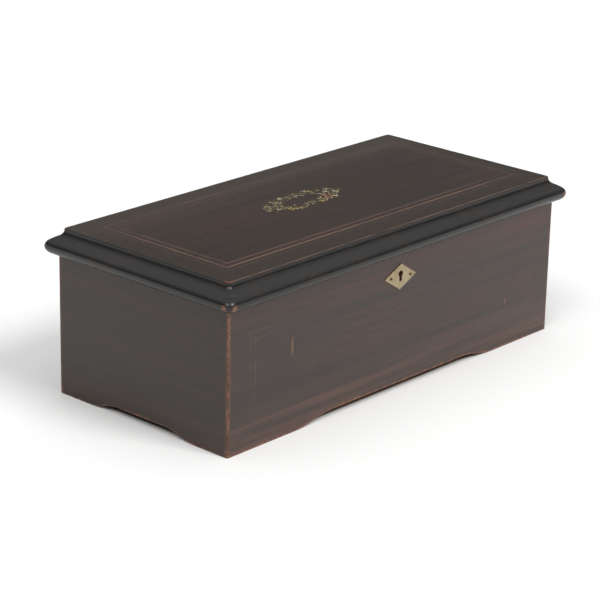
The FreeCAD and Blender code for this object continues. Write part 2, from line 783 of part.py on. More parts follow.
frame_half = f"({partition_in} - 0.6)"
frame_front = f"({sill} + 8.5)"
frame_depth = "(case_depth - 2*wall - 13)"
frame_foot = "(partition_top - 1 - glass_frame_thick)"
frame_blank = box(
    "glass_frame_blank",
    (f"-{frame_half}", frame_front, frame_foot),
    (f"2*{frame_half}", frame_depth, "glass_frame_thick"),
)
frame_window = box(
    "glass_frame_window",
    (f"-{frame_half} + glass_rail", f"{frame_front} + glass_rail", f"{frame_foot} - 1"),
    (f"2*{frame_half} - 2*glass_rail", f"{frame_depth} - 2*glass_rail", "glass_frame_thick + 2"),
)
pane_corner = (f"-{frame_half} + glass_rail - 4", f"{frame_front} + glass_rail - 4", f"{frame_foot} + 4")
pane_extent = (f"2*{frame_half} - 2*glass_rail + 8", f"{frame_depth} - 2*glass_rail + 8")
frame_rebate = box("glass_frame_rebate", pane_corner, pane_extent + ("glass_frame_thick",))
frame_bores = [
    rod(f"glass_frame_bore_{side}", (start,) + glass_axis, "pivot_radius + running", 12)
    for side, start in (("left", f"-{frame_half} - 2"), ("right", f"{frame_half} - 10"))
]
lift = box(
    "glass_lift",
    (-15, f"{frame_front} - 5", f"{frame_foot} + glass_frame_thick - 3"),
    (30, 6, 3),
)
lifted = fuse("glass_frame_solid", [frame_blank, lift])
keep(cut("glass_lid_frame", lifted, [frame_window, frame_rebate] + frame_bores))
keep(box("glass_pane", pane_corner, pane_extent + ("glass_thick",)))
keep(group("glass_lid_pivots", [
    rod(f"glass_pivot_{side}", (start,) + glass_axis, "pivot_radius", "partition_thick + 9")
    for side, start in (("left", f"-{partition_out}"), ("right", f"{partition_in} - 9"))
]))

# Bedplate on four feet, held from below

bed_blank = pad("bedplate_blank", "XY", f"{floor_top} + bed_foot", "bed_thick", [[
    (f"-{bed_half} + bed_corner", f"-{bed_front}"),
    (f"{bed_half} - bed_corner", f"-{bed_front}", "bed_corner", 1),
    (bed_half, f"-{bed_front} + bed_corner"),
    (bed_half, f"{bed_back} - bed_corner", "bed_corner", 1),
    (f"{bed_half} - bed_corner", bed_back),
    (f"-{bed_half} + bed_corner", bed_back, "bed_corner", 1),
    (f"-{bed_half}", f"{bed_back} - bed_corner"),
    (f"-{bed_half}", f"-{bed_front} + bed_corner", "bed_corner", 1),
]])
bed_feet = [
    rod(f"bed_foot_{number}", (x, y, floor_top), 7, "bed_foot + 1", "Z")
    for number, (x, y) in enumerate(foot_spots, 1)
]
bed_holes = [
    rod(f"bed_hole_{number}", (x, y, f"{floor_top} - 1"), 2, "bed_foot + 1", "Z")
    for number, (x, y) in enumerate(foot_spots, 1)
]
barrel_hollow = rod(
    "barrel_hollow",
    (f"{barrel_x} - 1.5", barrel[0], barrel[1]),
    "barrel_module*(barrel_teeth/2 + 1) + 4",
    "barrel_width + barrel_wheel_width + 2.5",
)
keep(cut("bedplate", fuse("bedplate_solid", [bed_blank] + bed_feet), bed_holes + [barrel_hollow]))
bed_screws = []
for number, (x, y) in enumerate(foot_spots, 1):
    shank = rod(f"bed_screw_shank_{number}", (x, y, "floor_rise + 1"), 2, "floor_thick + bed_foot - 1", "Z")
    head = rod(f"bed_screw_head_{number}", (x, y, "floor_rise + 0.4"), 4.4, 2.2, "Z")
    bed_screws.append(fuse(f"bed_screw_{number}", [shank, head]))
keep(group("bedplate_screws", bed_screws))

# Cocks that carry the arbors


def cock(name, start, thick, spot, half, boss, bore, foot):
    """Upright plate with a round head and a foot along X."""
    body = pad(name + "_plate", "YZ", start, thick, [[
        (spot[0] - half, bed_z),
        (spot[0] + half, bed_z),
        (spot[0] + boss, spot[1], boss, 1),
        (spot[0], spot[1] + boss, boss, 1),
        (spot[0] - boss, spot[1]),
    ]])
    near, deep = foot
    base = box(name + "_foot", (near, spot[0] - half, bed_top), (deep, 2 * half, 4))
    hole = rod(name + "_bore", (f"{start} - 1", spot[0], spot[1]), bore, f"{thick} + 2")
    return cut(name, fuse(name + "_solid", [body, base]), [hole])


arbor_bore_size = "arbor_radius + running"
winding_bore_size = "winding_radius + running"
keep(cock("cylinder_left_cock", cylinder_cock_x, "cock_thick", cyl, 13, 9, arbor_bore_size, (
    cylinder_cock_x, "cock_thick + 9",
)))
keep(cock("cylinder_right_cock", right_cock_x, "cock_thick + 1", cyl, 13, 9, arbor_bore_size, (
    f"{right_cock_x} - 4", "cock_thick + 5",
)))
keep(cock("barrel_right_cock", barrel_cock_x, "cock_thick", barrel, 15, 10, winding_bore_size, (
    barrel_cock_x, "cock_thick + 11",
)))

click_spot = (barrel[0] + 14, barrel[1] + 17)
click_plate = pad("barrel_left_plate", "YZ", left_cock_x, "cock_thick", [[
    (barrel[0] - 16, bed_z),
    (barrel[0] + 22, bed_z),
    (barrel[0] + 20, barrel[1] + 16),
    (barrel[0] + 16, barrel[1] + 22),
    (barrel[0] + 10, barrel[1] + 22),
    (barrel[0] - 9, barrel[1] + 9),
    (barrel[0] - 10, barrel[1]),
]])
click_stud = rod(
    "click_stud",
    (f"{click_x} - 0.5", click_spot[0], click_spot[1]),
    1.8,
    "ratchet_width + cock_gap + 1",
)
click_foot = box(
    "barrel_left_foot",
    (f"{left_cock_x} - 3", barrel[0] - 16, bed_top),
    ("cock_thick + 3", 38, 4),
)
arbor_bore = rod(
    "barrel_left_bore",
    (f"{left_cock_x} - 8", barrel[0], barrel[1]),
    winding_bore_size,
    "cock_thick + 9",
)
keep(cut(
    "barrel_left_cock",
    fuse("barrel_left_solid", [click_plate, click_stud, click_foot]),
    [arbor_bore],
))

# Spring barrel, mainspring and winding arbor

barrel_phase = 180 + 180 / num("barrel_teeth")
barrel_wheel = feature("barrel_wheel", prism(
    gear_outline(num("barrel_module"), num("barrel_teeth"), barrel, barrel_phase, num("backlash")),
    num(barrel_wheel_x),
    num("barrel_wheel_width"),
))
barrel_drum = rod("barrel_drum", (barrel_x, barrel[0], barrel[1]), "barrel_radius", "barrel_width")
barrel_boss = rod("barrel_boss", (f"{barrel_x} - 2", barrel[0], barrel[1]), "winding_radius + 5", 3)
barrel_room = rod(
    "barrel_room",
    (f"{barrel_x} + 2", barrel[0], barrel[1]),
    "barrel_radius - 2",
    "barrel_width - 4",
)
barrel_bore = rod(
    "barrel_bore",
    (f"{barrel_x} - 7", barrel[0], barrel[1]),
    winding_bore_size,
    "barrel_width + 15",
)
barrel_solid = fuse("barrel_solid", [barrel_drum, barrel_boss, barrel_wheel])
keep(cut("spring_barrel", barrel_solid, [barrel_room, barrel_bore]))


def spiral(centre, inner, outer, thick, turns, start, length):
    """Flat coil of half circles about two centres, run along X."""
    step = (outer - thick - inner) / (2 * turns)
    sides = []
    for extra in (0, thick):
        edges = []
        for half in range(2 * turns):
            radius = inner + extra + half * step
            shift = 0 if half % 2 == 0 else step
            flip = 1 if half % 2 == 0 else -1
            middle = Vector(start, centre[0] + shift, centre[1])
            points = [
                middle + Vector(0, math.cos(turn), math.sin(turn)) * (flip * radius)
                for turn in (0, math.pi / 2, math.pi)
            ]
            edges.append(Part.Arc(*points).toShape())
        sides.append(edges)
    caps = []
    for index in (0, -1):
        ends = []
        for edges in sides:
            vertexes = edges[index].Vertexes
            ends.append(vertexes[0 if index == 0 else -1].Point)
        caps.append(Part.makeLine(*ends))
    wire = Part.Wire(Part.__sortEdges__(sides[0] + [caps[1]] + sides[1] + [caps[0]]))
    return Part.Face(wire).extrude(Vector(length, 0, 0))


keep(feature("mainspring", spiral(
    barrel,
    num("winding_radius") + 0.8,
    num("barrel_radius") - 2,
    0.9,
    4,
    num(f"{barrel_x} + 2.5"),
    num("barrel_width - 5"),
)))

arbor_rod = rod(
    "winding_rod",
    (f"{lever_x} - 3.5", barrel[0], barrel[1]),
    "winding_radius",
    f"{barrel_cock_x} + cock_thick + 2.5 - ({lever_x} - 3.5)",
)
arbor_nut = rod("winding_nut", (f"{lever_x} - 6.5", barrel[0], barrel[1]), "winding_radius + 3", 6)
keep(fuse("winding_arbor", [arbor_rod, arbor_nut]))

lever_turn = 180 + num("lever_rest")
CLICK_TEETH = 18
LEVER_TEETH = 14
click_phase = 98


def ratchet(name, tip, root, teeth, phase, start):
    outline = ratchet_outline(tip, root, teeth, barrel, phase)
    wheel = feature(name + "_blank", prism(outline, num(start), num("ratchet_width")))
    hole = rod(name + "_bore", (f"{start} - 1", barrel[0], barrel[1]), "winding_radius", "ratchet_width + 2")
    return keep(cut(name, wheel, [hole]))


ratchet("click_wheel", 14, 11.6, CLICK_TEETH, click_phase, click_x)
ratchet("lever_ratchet", 12, 9.4, LEVER_TEETH, lever_turn + 7, ratchet_x)

click_arm = feature("click_arm", prism([
    (barrel[0] - 1.25, barrel[1] + 14.3),
    (barrel[0] + 2.2, barrel[1] + 15.4),
    (click_spot[0] - 1.6, click_spot[1] - 2.6),
    (click_spot[0] + 1.6, click_spot[1] - 2.4),
    (click_spot[0] + 1.6, click_spot[1] + 2.6),
    (click_spot[0] - 1.6, click_spot[1] + 2.7),
    (barrel[0] + 1.6, barrel[1] + 17.6),
    (barrel[0] - 1.3, barrel[1] + 15.4),
], num(f"{click_x} + 0.3"), num("ratchet_width - 0.6")))
click_boss = rod("click_boss", (f"{click_x} + 0.3", click_spot[0], click_spot[1]), 3.2, "ratchet_width - 0.6")
click_bore = rod(
    "click_bore",
    (f"{click_x} - 1", click_spot[0], click_spot[1]),
    "1.8 + running",
    "ratchet_width + 4",
)
keep(cut("click", fuse("click_solid", [click_arm, click_boss]), [click_bore]))

# Winding lever with its grip and pawl, pointing to the front


def along_lever(reach, aside):
    """Spot in Y and Z along the resting lever, and across it."""
    y, z = polar(reach, lever_turn)
    v, w = polar(aside, lever_turn + 90)
    return barrel[0] + y + v, barrel[1] + z + w


reach = num("lever_reach")
lever_bar = pad("lever_bar", "YZ", lever_x, "lever_thick", [[
    along_lever(0, -6),
    along_lever(0, 6),
    along_lever(reach, 4),
    along_lever(reach, -4),
]])
tip_spot = along_lever(reach, 0)
lever_hub = rod("lever_hub", (lever_x, barrel[0], barrel[1]), "winding_radius + 5", "lever_thick")
lever_end = rod("lever_end", (lever_x, tip_spot[0], tip_spot[1]), 6, "lever_thick")
lever_bore = rod(
    "lever_bore",
    (f"{lever_x} - 1.5", barrel[0], barrel[1]),
    winding_bore_size,
    "lever_thick + 3",
)
keep(cut("winding_lever", fuse("lever_solid", [lever_bar, lever_hub, lever_end]), [lever_bore]))

grip = revolve("lever_grip", "XZ", -tip_spot[0], [
    (lever_x, 0),
    (lever_x, 4.2),
    (f"{lever_x} - 3.5", 4.2),
    (f"{lever_x} - 4.5", 5.6, 16, 1),
    (f"{lever_x} - grip_length + 5.5", 6.4, 5, 1),
    (f"{lever_x} - grip_length", 2.6),
    (f"{lever_x} - grip_length", 0),
], "H_Axis")
grip.Placement = Placement(Vector(0, 0, tip_spot[1]), Rotation())
keep(grip)
keep(feature("lever_pawl", prism([
    along_lever(10.1, 1.0),
    along_lever(10.9, -0.9),
    along_lever(14, -2.6),
    along_lever(23, -3),
    along_lever(25.5, 0),
    along_lever(23, 3),
    along_lever(14, 2.0),
], num(f"{lever_x} + lever_thick"), num("ratchet_width + 0.5"))))

# Music cylinder, its pins, arbor, pinion and great wheel

cylinder_solid = rod("cylinder_solid", (cylinder_start, cyl[0], cyl[1]), "cylinder_radius", "cylinder_length")
cylinder_room = rod(
    "cylinder_room",
    (f"{cylinder_start} + 3", cyl[0], cyl[1]),
    "cylinder_radius - 3",
    "cylinder_length - 6",
)
cylinder_sleeve = rod(
    "cylinder_sleeve",
    (cylinder_start, cyl[0], cyl[1]),
    "arbor_radius + 2",
    "cylinder_length",
)
cylinder_bore = rod(
    "cylinder_bore",
    (f"{cylinder_start} - 1", cyl[0], cyl[1]),
    arbor_bore_size,
    "cylinder_length + 2",
)
FOLLOWER_SIDE = 6
snail_spot = (cyl[0], cyl[1] + 12)
follower = rod(
    "follower_pin",
    (f"{cylinder_end} - 1", snail_spot[0], snail_spot[1] + FOLLOWER_SIDE),
    0.8,
    "snail_room - 1.1",
)
shell = cut("cylinder_shell", cylinder_solid, [cylinder_room])
keep(cut("music_cylinder", fuse("cylinder_whole", [shell, cylinder_sleeve, follower]), [cylinder_bore]))

pin_radius = num("cylinder_radius")
pin_reach = num("pin_height")
pin_boxes = []
comb_pitch = num("comb_length") / num("comb_teeth")
for tooth in range(int(num("comb_teeth"))):
    for repeat in range(4):
        turn = (tooth * 137.508 + repeat * 83.0) % 360
        spot = num(comb_start) + (tooth + 0.42) * comb_pitch
        pin = Part.makeBox(0.5, 0.5, pin_reach + 0.6, Vector(spot, -0.25, pin_radius - 0.6))
        pin.Placement = Placement(Vector(0, cyl[0], cyl[1]), Rotation(Vector(1, 0, 0), turn))
        pin_boxes.append(pin)
keep(feature("cylinder_pins", Part.makeCompound(pin_boxes)))

arbor_long = rod(
    "cylinder_rod",
    (f"{pinion_x} - 3.2", cyl[0], cyl[1]),
    "arbor_radius",
    f"{right_cock_x} + cock_thick + 4 - ({pinion_x} - 3.2)",
)
drive_pinion = feature("drive_pinion", prism(
    gear_outline(num("barrel_module"), leaves, cyl, 0, num("backlash")),
    num(pinion_x),
    num(pinion_width),
))
keep(fuse("cylinder_arbor", [arbor_long, drive_pinion]))


def crossings(centre, rim, hub, bar, start, length):
    """Four windows between the spokes of a wheel, one spoke straight up."""
    ring = Part.makeCylinder(rim, length, Vector(start, *centre), Vector(1, 0, 0))
    windows = ring.cut(Part.makeCylinder(hub, length, Vector(start, *centre), Vector(1, 0, 0)))
    for wide, high in ((bar, 2 * rim), (2 * rim, bar)):
        corner = Vector(start, centre[0] - wide / 2, centre[1] - high / 2)
        windows = windows.cut(Part.makeBox(length, wide, high, corner))
    return windows


great_start = num(great_x)
great_blank = feature("great_wheel_blank", prism(
    gear_outline(num("great_module"), num("great_teeth"), cyl, GREAT_ANGLE, num("backlash")),
    great_start,
    num("great_width"),
))
great_windows = feature("great_wheel_windows", crossings(
    cyl,
    num("great_module*great_teeth/2") - 4,
    num("arbor_radius") + 4,
    5,
    great_start - 1,
    num("great_width") + 2,
))
great_spoked = cut("great_wheel_spoked", great_blank, [great_windows])
great_bore = rod("great_wheel_bore", (f"{great_x} - 4", cyl[0], cyl[1]), "arbor_radius", "great_width + 7")
snail_stud = rod("snail_stud", (f"{great_x} - 3.8", snail_spot[0], snail_spot[1]), 1.5, 4.8)
keep(cut("great_wheel", fuse("great_wheel_solid", [great_spoked, snail_stud]), [great_bore]))

snail_steps = []
for step in range(6):
    first_turn = math.radians(60 * step + 60)
    spread_turns = [first_turn + math.radians(60) * share / 4 for share in range(5)]
    outline = [snail_spot]
    for turn in spread_turns:
        outline.append((snail_spot[0] + 8 * math.cos(turn), snail_spot[1] + 8 * math.sin(turn)))
    deep = 1.0 + num("tune_step") * step
    snail_steps.append(feature(f"snail_step_{step + 1}", prism(outline, great_start - 0.2 - deep, deep)))
snail_bore = rod("snail_bore", (f"{great_x} - 14", snail_spot[0], snail_spot[1]), "1.5 + running", 20)
keep(cut("tune_snail", fuse("snail_solid", snail_steps), [snail_bore]))

# Comb on its base, with screws and bass weights

tip_y = num("cylinder_back - cylinder_radius - pin_height - tip_gap")
comb_foot = num("axis_height - comb_thick/2")
base_front = num(f"4 - {bed_front}")
comb_back = base_front + 10
screw_line = base_front + 16
comb_blank = box(
    "comb_blank",
    (comb_start, comb_back, comb_foot),
    ("comb_length", tip_y - comb_back, "comb_thick"),
)
comb_slots = []
for slot in range(1, int(num("comb_teeth"))):
    share = slot / num("comb_teeth")
    root = comb_back + 13 + 12 * share
    middle = num(comb_start) + slot * comb_pitch
    comb_slots.append(Part.makeBox(0.7, tip_y - root + 1, 4, Vector(middle - 0.35, root, comb_foot - 1)))
slot_tool = feature("comb_slots", Part.makeCompound(comb_slots))
screw_spots = [num(comb_start) + num("comb_length") * share for share in (0.07, 0.285, 0.5, 0.715, 0.93)]
comb_holes = [
    rod(f"comb_hole_{number}", (x, screw_line, comb_foot - 20), 2, 40, "Z")
    for number, x in enumerate(screw_spots, 1)
]
comb_drilled = cut("comb_drilled", comb_blank, comb_holes)
keep(cut("comb", comb_drilled, [slot_tool]))

base_back = base_front + num("comb_base_depth")
base_body = pad("comb_base_blank", "YZ", f"{comb_start} - 2", "comb_length + 4", [[
    (base_front, bed_z),
    (base_back, bed_z),
    (base_back, bed_z + 5),
    (base_back - 8, bed_z + 9),
    (base_back - 8, comb_foot),
    (base_front + 8, comb_foot),
    (base_front + 6, bed_z + 9),
    (base_front, bed_z + 5),
]])
base_holes = [
    rod(f"base_hole_{number}", (x, screw_line, comb_foot - 10), 2, 20, "Z")
    for number, x in enumerate(screw_spots, 1)
]
keep(cut("comb_base", base_body, base_holes))
comb_screws = []
for number, x in enumerate(screw_spots, 1):
    top = comb_foot + num("comb_thick")
    shank = rod(f"comb_screw_shank_{number}", (x, screw_line, comb_foot - 8), 2, "comb_thick + 8.5", "Z")
    head = rod(f"comb_screw_head_{number}", (x, screw_line, top), 3.6, 2, "Z")
    slit = box(f"comb_screw_slit_{number}", (x - 5, screw_line - 0.4, top + 1.1), (10, 0.8, 2))
    comb_screws.append(cut(f"comb_screw_{number}", fuse(f"comb_screw_solid_{number}", [shank, head]), [slit]))
keep(group("comb_screws", comb_screws))
bass_blocks = []
for tooth in range(14):
    x = num(comb_start) + tooth * comb_pitch + 0.6
    deep = 8 - 0.4 * tooth
    bass_blocks.append(Part.makeBox(comb_pitch - 1.2, 12, deep, Vector(x, tip_y - 17, comb_foot - deep)))
keep(feature("bass_weights", Part.makeCompound(bass_blocks)))

# Governor: frame, plate, cock, two wheels, endless screw and fan

gov_front, gov_back = first[0] - 9, worm[0] + 7
gov_top = worm[1] + num("governor_rise")
plate_bore = "governor_plate_thick + 2"
frame_profile = pad("governor_frame_blank", "XZ", -gov_back, gov_back - gov_front, [[
    (governor_left, bed_z),
    (governor_right, bed_z),
    (governor_right, bed_z + 4),
    (f"{governor_left} + governor_plate_thick", bed_z + 4),
    (f"{governor_left} + governor_plate_thick", gov_top),
    (governor_left, gov_top),
]])
frame_holes = [
    rod(f"governor_frame_bore_{name}", (f"{governor_left} - 1", spot[0], spot[1]), radius, plate_bore)
    for name, spot, radius in (("first", first, "1.6 + running"), ("second", second, "1.2 + running"))
]
frame_holes.append(rod("worm_seat", (worm_x, worm[0], bed_z + 2), "0.8 + running", 4, "Z"))
keep(cut("governor_frame", frame_profile, frame_holes))
side_blank = box(
    "governor_plate_blank",
    (governor_right, gov_front, bed_top),
    ("governor_plate_thick", gov_back - gov_front, gov_top - bed_z),
)
plate_holes = [
    rod(f"governor_plate_bore_{name}", (f"{governor_right} - 1", spot[0], spot[1]), radius, plate_bore)
    for name, spot, radius in (("first", first, "1.6 + running"), ("second", second, "1.2 + running"))
]
keep(cut("governor_plate", side_blank, plate_holes))
cock_blank = box(
    "governor_cock_blank",
    (governor_left, worm[0] - 6, gov_top),
    ("governor_width + governor_plate_thick", 12, 4),
)
cock_hole = rod("governor_cock_bore", (worm_x, worm[0], gov_top - 1), "0.8 + running", 4, "Z")
keep(cut("governor_cock", cock_blank, [cock_hole]))


def arbor_with_wheels(name, spot, radius, start, length, wheels):
    """Arbor with toothed wheels; a wheel of many teeth has four spokes."""
    pieces = [rod(name + "_rod", (start, spot[0], spot[1]), radius, length)]
    for number, (module, teeth, phase, from_x, wide) in enumerate(wheels, 1):
        outline = gear_outline(module, teeth, spot, phase, num("backlash"))
        teeth_blank = feature(f"{name}_teeth_{number}", prism(outline, num(from_x), num(wide)))
        if teeth > 30:
            rim = module * (teeth / 2 - 3.6)
            holes = crossings(spot, rim, 4.5, 3, num(from_x) - 1, num(wide) + 2)
            windows = feature(f"{name}_windows_{number}", holes)
            teeth_blank = cut(f"{name}_spoked_{number}", teeth_blank, [windows])
        pieces.append(teeth_blank)
    return keep(fuse(name, pieces))


plates_length = "(governor_width + governor_plate_thick)"
arbor_with_wheels("first_wheel", first, 1.6, f"{great_x} - 2.5", f"2.5 + governor_reach + {plates_length}", [
    (num("great_module"), leaves, GREAT_ANGLE + 180 + 180 / leaves, f"{great_x} - 1", "great_width + 2"),
    (num("first_module"), int(num("first_teeth")), FIRST_ANGLE, f"{governor_left} + 7.5", 2),
])
arbor_with_wheels("second_wheel", second, 1.2, governor_left, plates_length, [
    (num("first_module"), leaves, FIRST_ANGLE + 180 + 180 / leaves, f"{governor_left} + 6", 5),
    (num("second_module"), int(num("second_teeth")), 0, worm_x - 0.5, 1),
])


def screw_thread(spot, middle, lead, turns, inner, outer, root_half, tip_half):
    """Right-hand thread of flat facets about a standing axis.

    The thread lies half a lead from the middle where it faces the wheel.
    """
    rings = []
    steps = 16 * turns
    for index in range(steps + 1):
        turn = math.pi + 2 * math.pi * (index / 16 - turns / 2)
        height = middle + lead * (index / 16 - turns / 2) + lead / 2
        side = Vector(0, math.cos(turn), 0) + Vector(-math.sin(turn), 0, 0)
        ring = []
        for reach, half in ((inner, -root_half), (outer, -tip_half), (outer, tip_half), (inner, root_half)):
            ring.append(Vector(spot[0], spot[1], height + half) + side * reach)
        rings.append(ring)
    faces = []

    def patch(*corners):
        faces.append(Part.Face(Part.makePolygon(list(corners) + [corners[0]])))

    for near, far in zip(rings, rings[1:]):
        for index in range(4):
            beside = (index + 1) % 4
            patch(near[index], near[beside], far[beside])
            patch(near[index], far[beside], far[index])
    patch(*rings[0])
    patch(*rings[-1])
    solid = Part.Solid(Part.Shell(faces))
    solid.fix(1e-6, 1e-6, 1e-6)
    return solid if solid.Volume > 0 else solid.reversed()


lead = math.pi * num("second_module")
worm_reach = num("worm_radius")
thread = feature("worm_thread", screw_thread(
    (worm_x, worm[0]), worm[1], lead, 4, 0.6 * worm_reach, worm_reach + 0.23 * lead, 0.25 * lead, 0.09 * lead,
))
core_ring = [polar(0.7 * worm_reach, 22.5 * side) for side in range(16)]
core_foot = worm[1] - 2.6 * lead
core_edge = Part.makePolygon([
    Vector(worm_x + x, worm[0] + y, core_foot)
    for x, y in core_ring + core_ring[:1]
])
worm_core = feature("worm_core", Part.Face(core_edge).extrude(Vector(0, 0, 5.2 * lead)))
worm_arbor = rod("worm_arbor", (worm_x, worm[0], bed_z + 4.3), 1.2, gov_top - bed_z - 4.6, "Z")
worm_pivots = rod("worm_pivots", (worm_x, worm[0], bed_z + 2.2), 0.8, gov_top - bed_z, "Z")
keep(fuse("endless_screw", [thread, worm_core, worm_arbor, worm_pivots]))

fan_reach = num("fan_radius")
fan_foot = gov_top - 1.3 - num("fan_height")
wings = [
    box(f"fan_wing_{number}", (start, worm[0] - 0.15, fan_foot), ("fan_radius - 2", 0.3, "fan_height"))
    for number, start in enumerate((worm_x - fan_reach, worm_x + 2), 1)
]
fan_hub = rod("fan_hub", (worm_x, worm[0], fan_foot - 0.5), 2.2, "fan_height + 1", "Z")
fan_bore = rod("fan_bore", (worm_x, worm[0], fan_foot - 2), 1.2, "fan_height + 4", "Z")
keep(cut("air_brake_fan", fuse("fan_solid", [fan_hub] + wings), [fan_bore]))

# Start and change levers on their bracket

bracket_body = pad("lever_bracket_blank", "YZ", f"{pivot_x} - 10", 20, [[
    (-54, bed_z),
    (-46, bed_z),
    (-46, bed_z + 4),
    (-49, bed_z + 4),
    (-49, control_height - 5),
    (-17, control_height - 5),
    (-17, bed_z + 4),
    (-20, bed_z + 4),
    (-20, bed_z),
    (-12, bed_z),
    (-12, control_height - 1),
    (-54, control_height - 1),
]])
studs = [
    rod(f"{name}_stud", (spot[0], spot[1], control_height - 2), 2, 6, "Z")
    for name, spot in (("start", start_pivot), ("change", change_pivot))
]
keep(fuse("lever_bracket", [bracket_body] + studs))
for name, spot in (("start", start_pivot), ("change", change_pivot)):
    bar = box(f"{name}_bar", (spot[0] - 16, spot[1] - 2.5, control_height), ("control_reach + 16", 5, 2))
    hub = rod(f"{name}_hub", (spot[0], spot[1], control_height - 0.7), 5, 2.7, "Z")
    end = rod(f"{name}_end", (f"{spot[0]} + control_reach", spot[1], control_height), 3.6, 2, "Z")
    bore = rod(f"{name}_bore", (spot[0], spot[1], control_height - 2), "2 + running", 8, "Z")
    keep(cut(f"{name}_lever", fuse(f"{name}_lever_solid", [bar, hub, end]), [bore]))
    knob_x = f"{spot[0]} + control_reach"
    knob_z = control_height + 2
    stem = rod(f"{name}_stem", (knob_x, spot[1], knob_z), 2, 7, "Z")
    collar = rod(f"{name}_collar", (knob_x, spot[1], knob_z), 3.2, 1.5, "Z")
    ball = doc.addObject("Part::Sphere", f"{name}_ball")
    bind(ball, "Radius", "knob_radius")
    place(ball, (knob_x, spot[1], f"{knob_z} + 5 + knob_radius"))
    keep(fuse(f"{name}_knob", [stem, collar, ball]))

# Check every object, then write each node

doc.recompute()
for thing in doc.Objects:
    if {"Invalid", "Error"} & set(thing.State):
        raise RuntimeError(f"{thing.Name}: {thing.State}")
os.makedirs("parts", exist_ok=True)
for thing in nodes:
    shape = thing.Shape
    if shape.isNull() or not shape.isValid() or not shape.Solids:
        raise RuntimeError(f"{thing.Name} has no sound solid")
    shape.exportStep(f"parts/{thing.Name}.step")
print(f"{len(nodes)} nodes written")
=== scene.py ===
import json
import math
import random
from functools import reduce

import bmesh
import bpy
from mathutils import Matrix, Vector

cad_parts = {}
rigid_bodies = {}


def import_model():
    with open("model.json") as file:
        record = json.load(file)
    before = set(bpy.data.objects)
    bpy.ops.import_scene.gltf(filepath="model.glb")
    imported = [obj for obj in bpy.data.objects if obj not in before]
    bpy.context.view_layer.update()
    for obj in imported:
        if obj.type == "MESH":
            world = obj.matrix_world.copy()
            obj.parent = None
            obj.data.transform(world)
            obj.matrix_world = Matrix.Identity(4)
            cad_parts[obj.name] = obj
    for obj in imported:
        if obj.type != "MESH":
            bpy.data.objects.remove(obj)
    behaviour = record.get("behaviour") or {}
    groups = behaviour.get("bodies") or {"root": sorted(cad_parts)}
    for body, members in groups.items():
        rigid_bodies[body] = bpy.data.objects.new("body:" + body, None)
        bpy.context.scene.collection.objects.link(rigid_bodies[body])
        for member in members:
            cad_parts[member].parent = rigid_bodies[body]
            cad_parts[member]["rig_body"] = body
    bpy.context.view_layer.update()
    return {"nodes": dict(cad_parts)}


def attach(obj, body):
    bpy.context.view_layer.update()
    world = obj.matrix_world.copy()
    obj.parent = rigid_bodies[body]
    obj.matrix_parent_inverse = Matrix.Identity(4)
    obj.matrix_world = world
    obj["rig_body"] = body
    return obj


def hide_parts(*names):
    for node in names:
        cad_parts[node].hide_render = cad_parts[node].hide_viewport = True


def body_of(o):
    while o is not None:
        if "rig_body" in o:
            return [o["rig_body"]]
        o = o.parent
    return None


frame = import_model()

nodes = frame["nodes"]
slotOf = {name: node.data.materials[0].name for name, node in nodes.items()}
scene = bpy.context.scene
meshOps = bpy.ops.mesh
objectOps = bpy.ops.object
scene.view_settings.view_transform = "Standard"


# picking and shaping helpers
near = 0.00001  # metres between two places that are taken as one
facing = 0.9  # least part of a face's normal along the way that it faces


def leaveEdit():
    if bpy.context.object and bpy.context.object.mode != "OBJECT":
        objectOps.mode_set(mode="OBJECT")


def work(*things):
    leaveEdit()
    objectOps.select_all(action="DESELECT")
    for thing in things:
        thing.select_set(True)
    bpy.context.view_layer.objects.active = things[0]


def added(name):
    piece = bpy.context.object
    piece.name = name
    piece.data.name = name
    return piece


def settle(piece):
    work(piece)
    objectOps.transform_apply()
    return piece


def ownCopy(model):
    copy = model.copy()
    copy.data = model.data.copy()
    scene.collection.objects.link(copy)
    return copy


def joined(pieces, name):
    work(*pieces)
    objectOps.join()
    return settle(added(name))


def editAll(piece):
    work(piece)
    objectOps.mode_set(mode="EDIT")
    meshOps.select_all(action="SELECT")


def editNone(piece, kind):
    work(piece)
    objectOps.mode_set(mode="EDIT")
    meshOps.select_mode(type=kind)
    meshOps.select_all(action="DESELECT")
    return bmesh.from_edit_mesh(piece.data)


def pickFaces(piece, test):
    mesh = editNone(piece, "FACE")
    for face in mesh.faces:
        face.select_set(bool(test(face.calc_center_median(), face.normal)))
    bmesh.update_edit_mesh(piece.data)


def pickEdges(piece, test):
    mesh = editNone(piece, "EDGE")
    for edge in mesh.edges:
        start, end = (vertex.co for vertex in edge.verts)
        edge.select_set(bool(test(start, end, [face.normal for face in edge.link_faces])))
    bmesh.update_edit_mesh(piece.data)


def copyOf(names, title):
    copies = []
    for name in names:
        copy = bpy.data.objects.new(title, nodes[name].data.copy())
        scene.collection.objects.link(copy)
        copies.append(copy)
    work(*copies)
    if len(copies) > 1:
        objectOps.join()
    piece = added(title)
    piece.data.materials.clear()
    editAll(piece)
    meshOps.remove_doubles(threshold=near)
    leaveEdit()
    return piece


def smooth(piece, degrees):
    work(piece)
    objectOps.shade_smooth_by_angle(angle=math.radians(degrees))


def evenShade(piece, degrees):
    smooth(piece, degrees)
    objectOps.modifier_add(type="WEIGHTED_NORMAL")
    piece.modifiers[-1].keep_sharp = True
    objectOps.modifier_apply(modifier=piece.modifiers[-1].name)


def paint(piece, choices, choose):
    piece.data.materials.clear()
    for finish in choices.values():
        piece.data.materials.append(finish.material)
    order = list(choices)
    for face in piece.data.polygons:
        face.material_index = order.index(choose(face.center, face.normal))


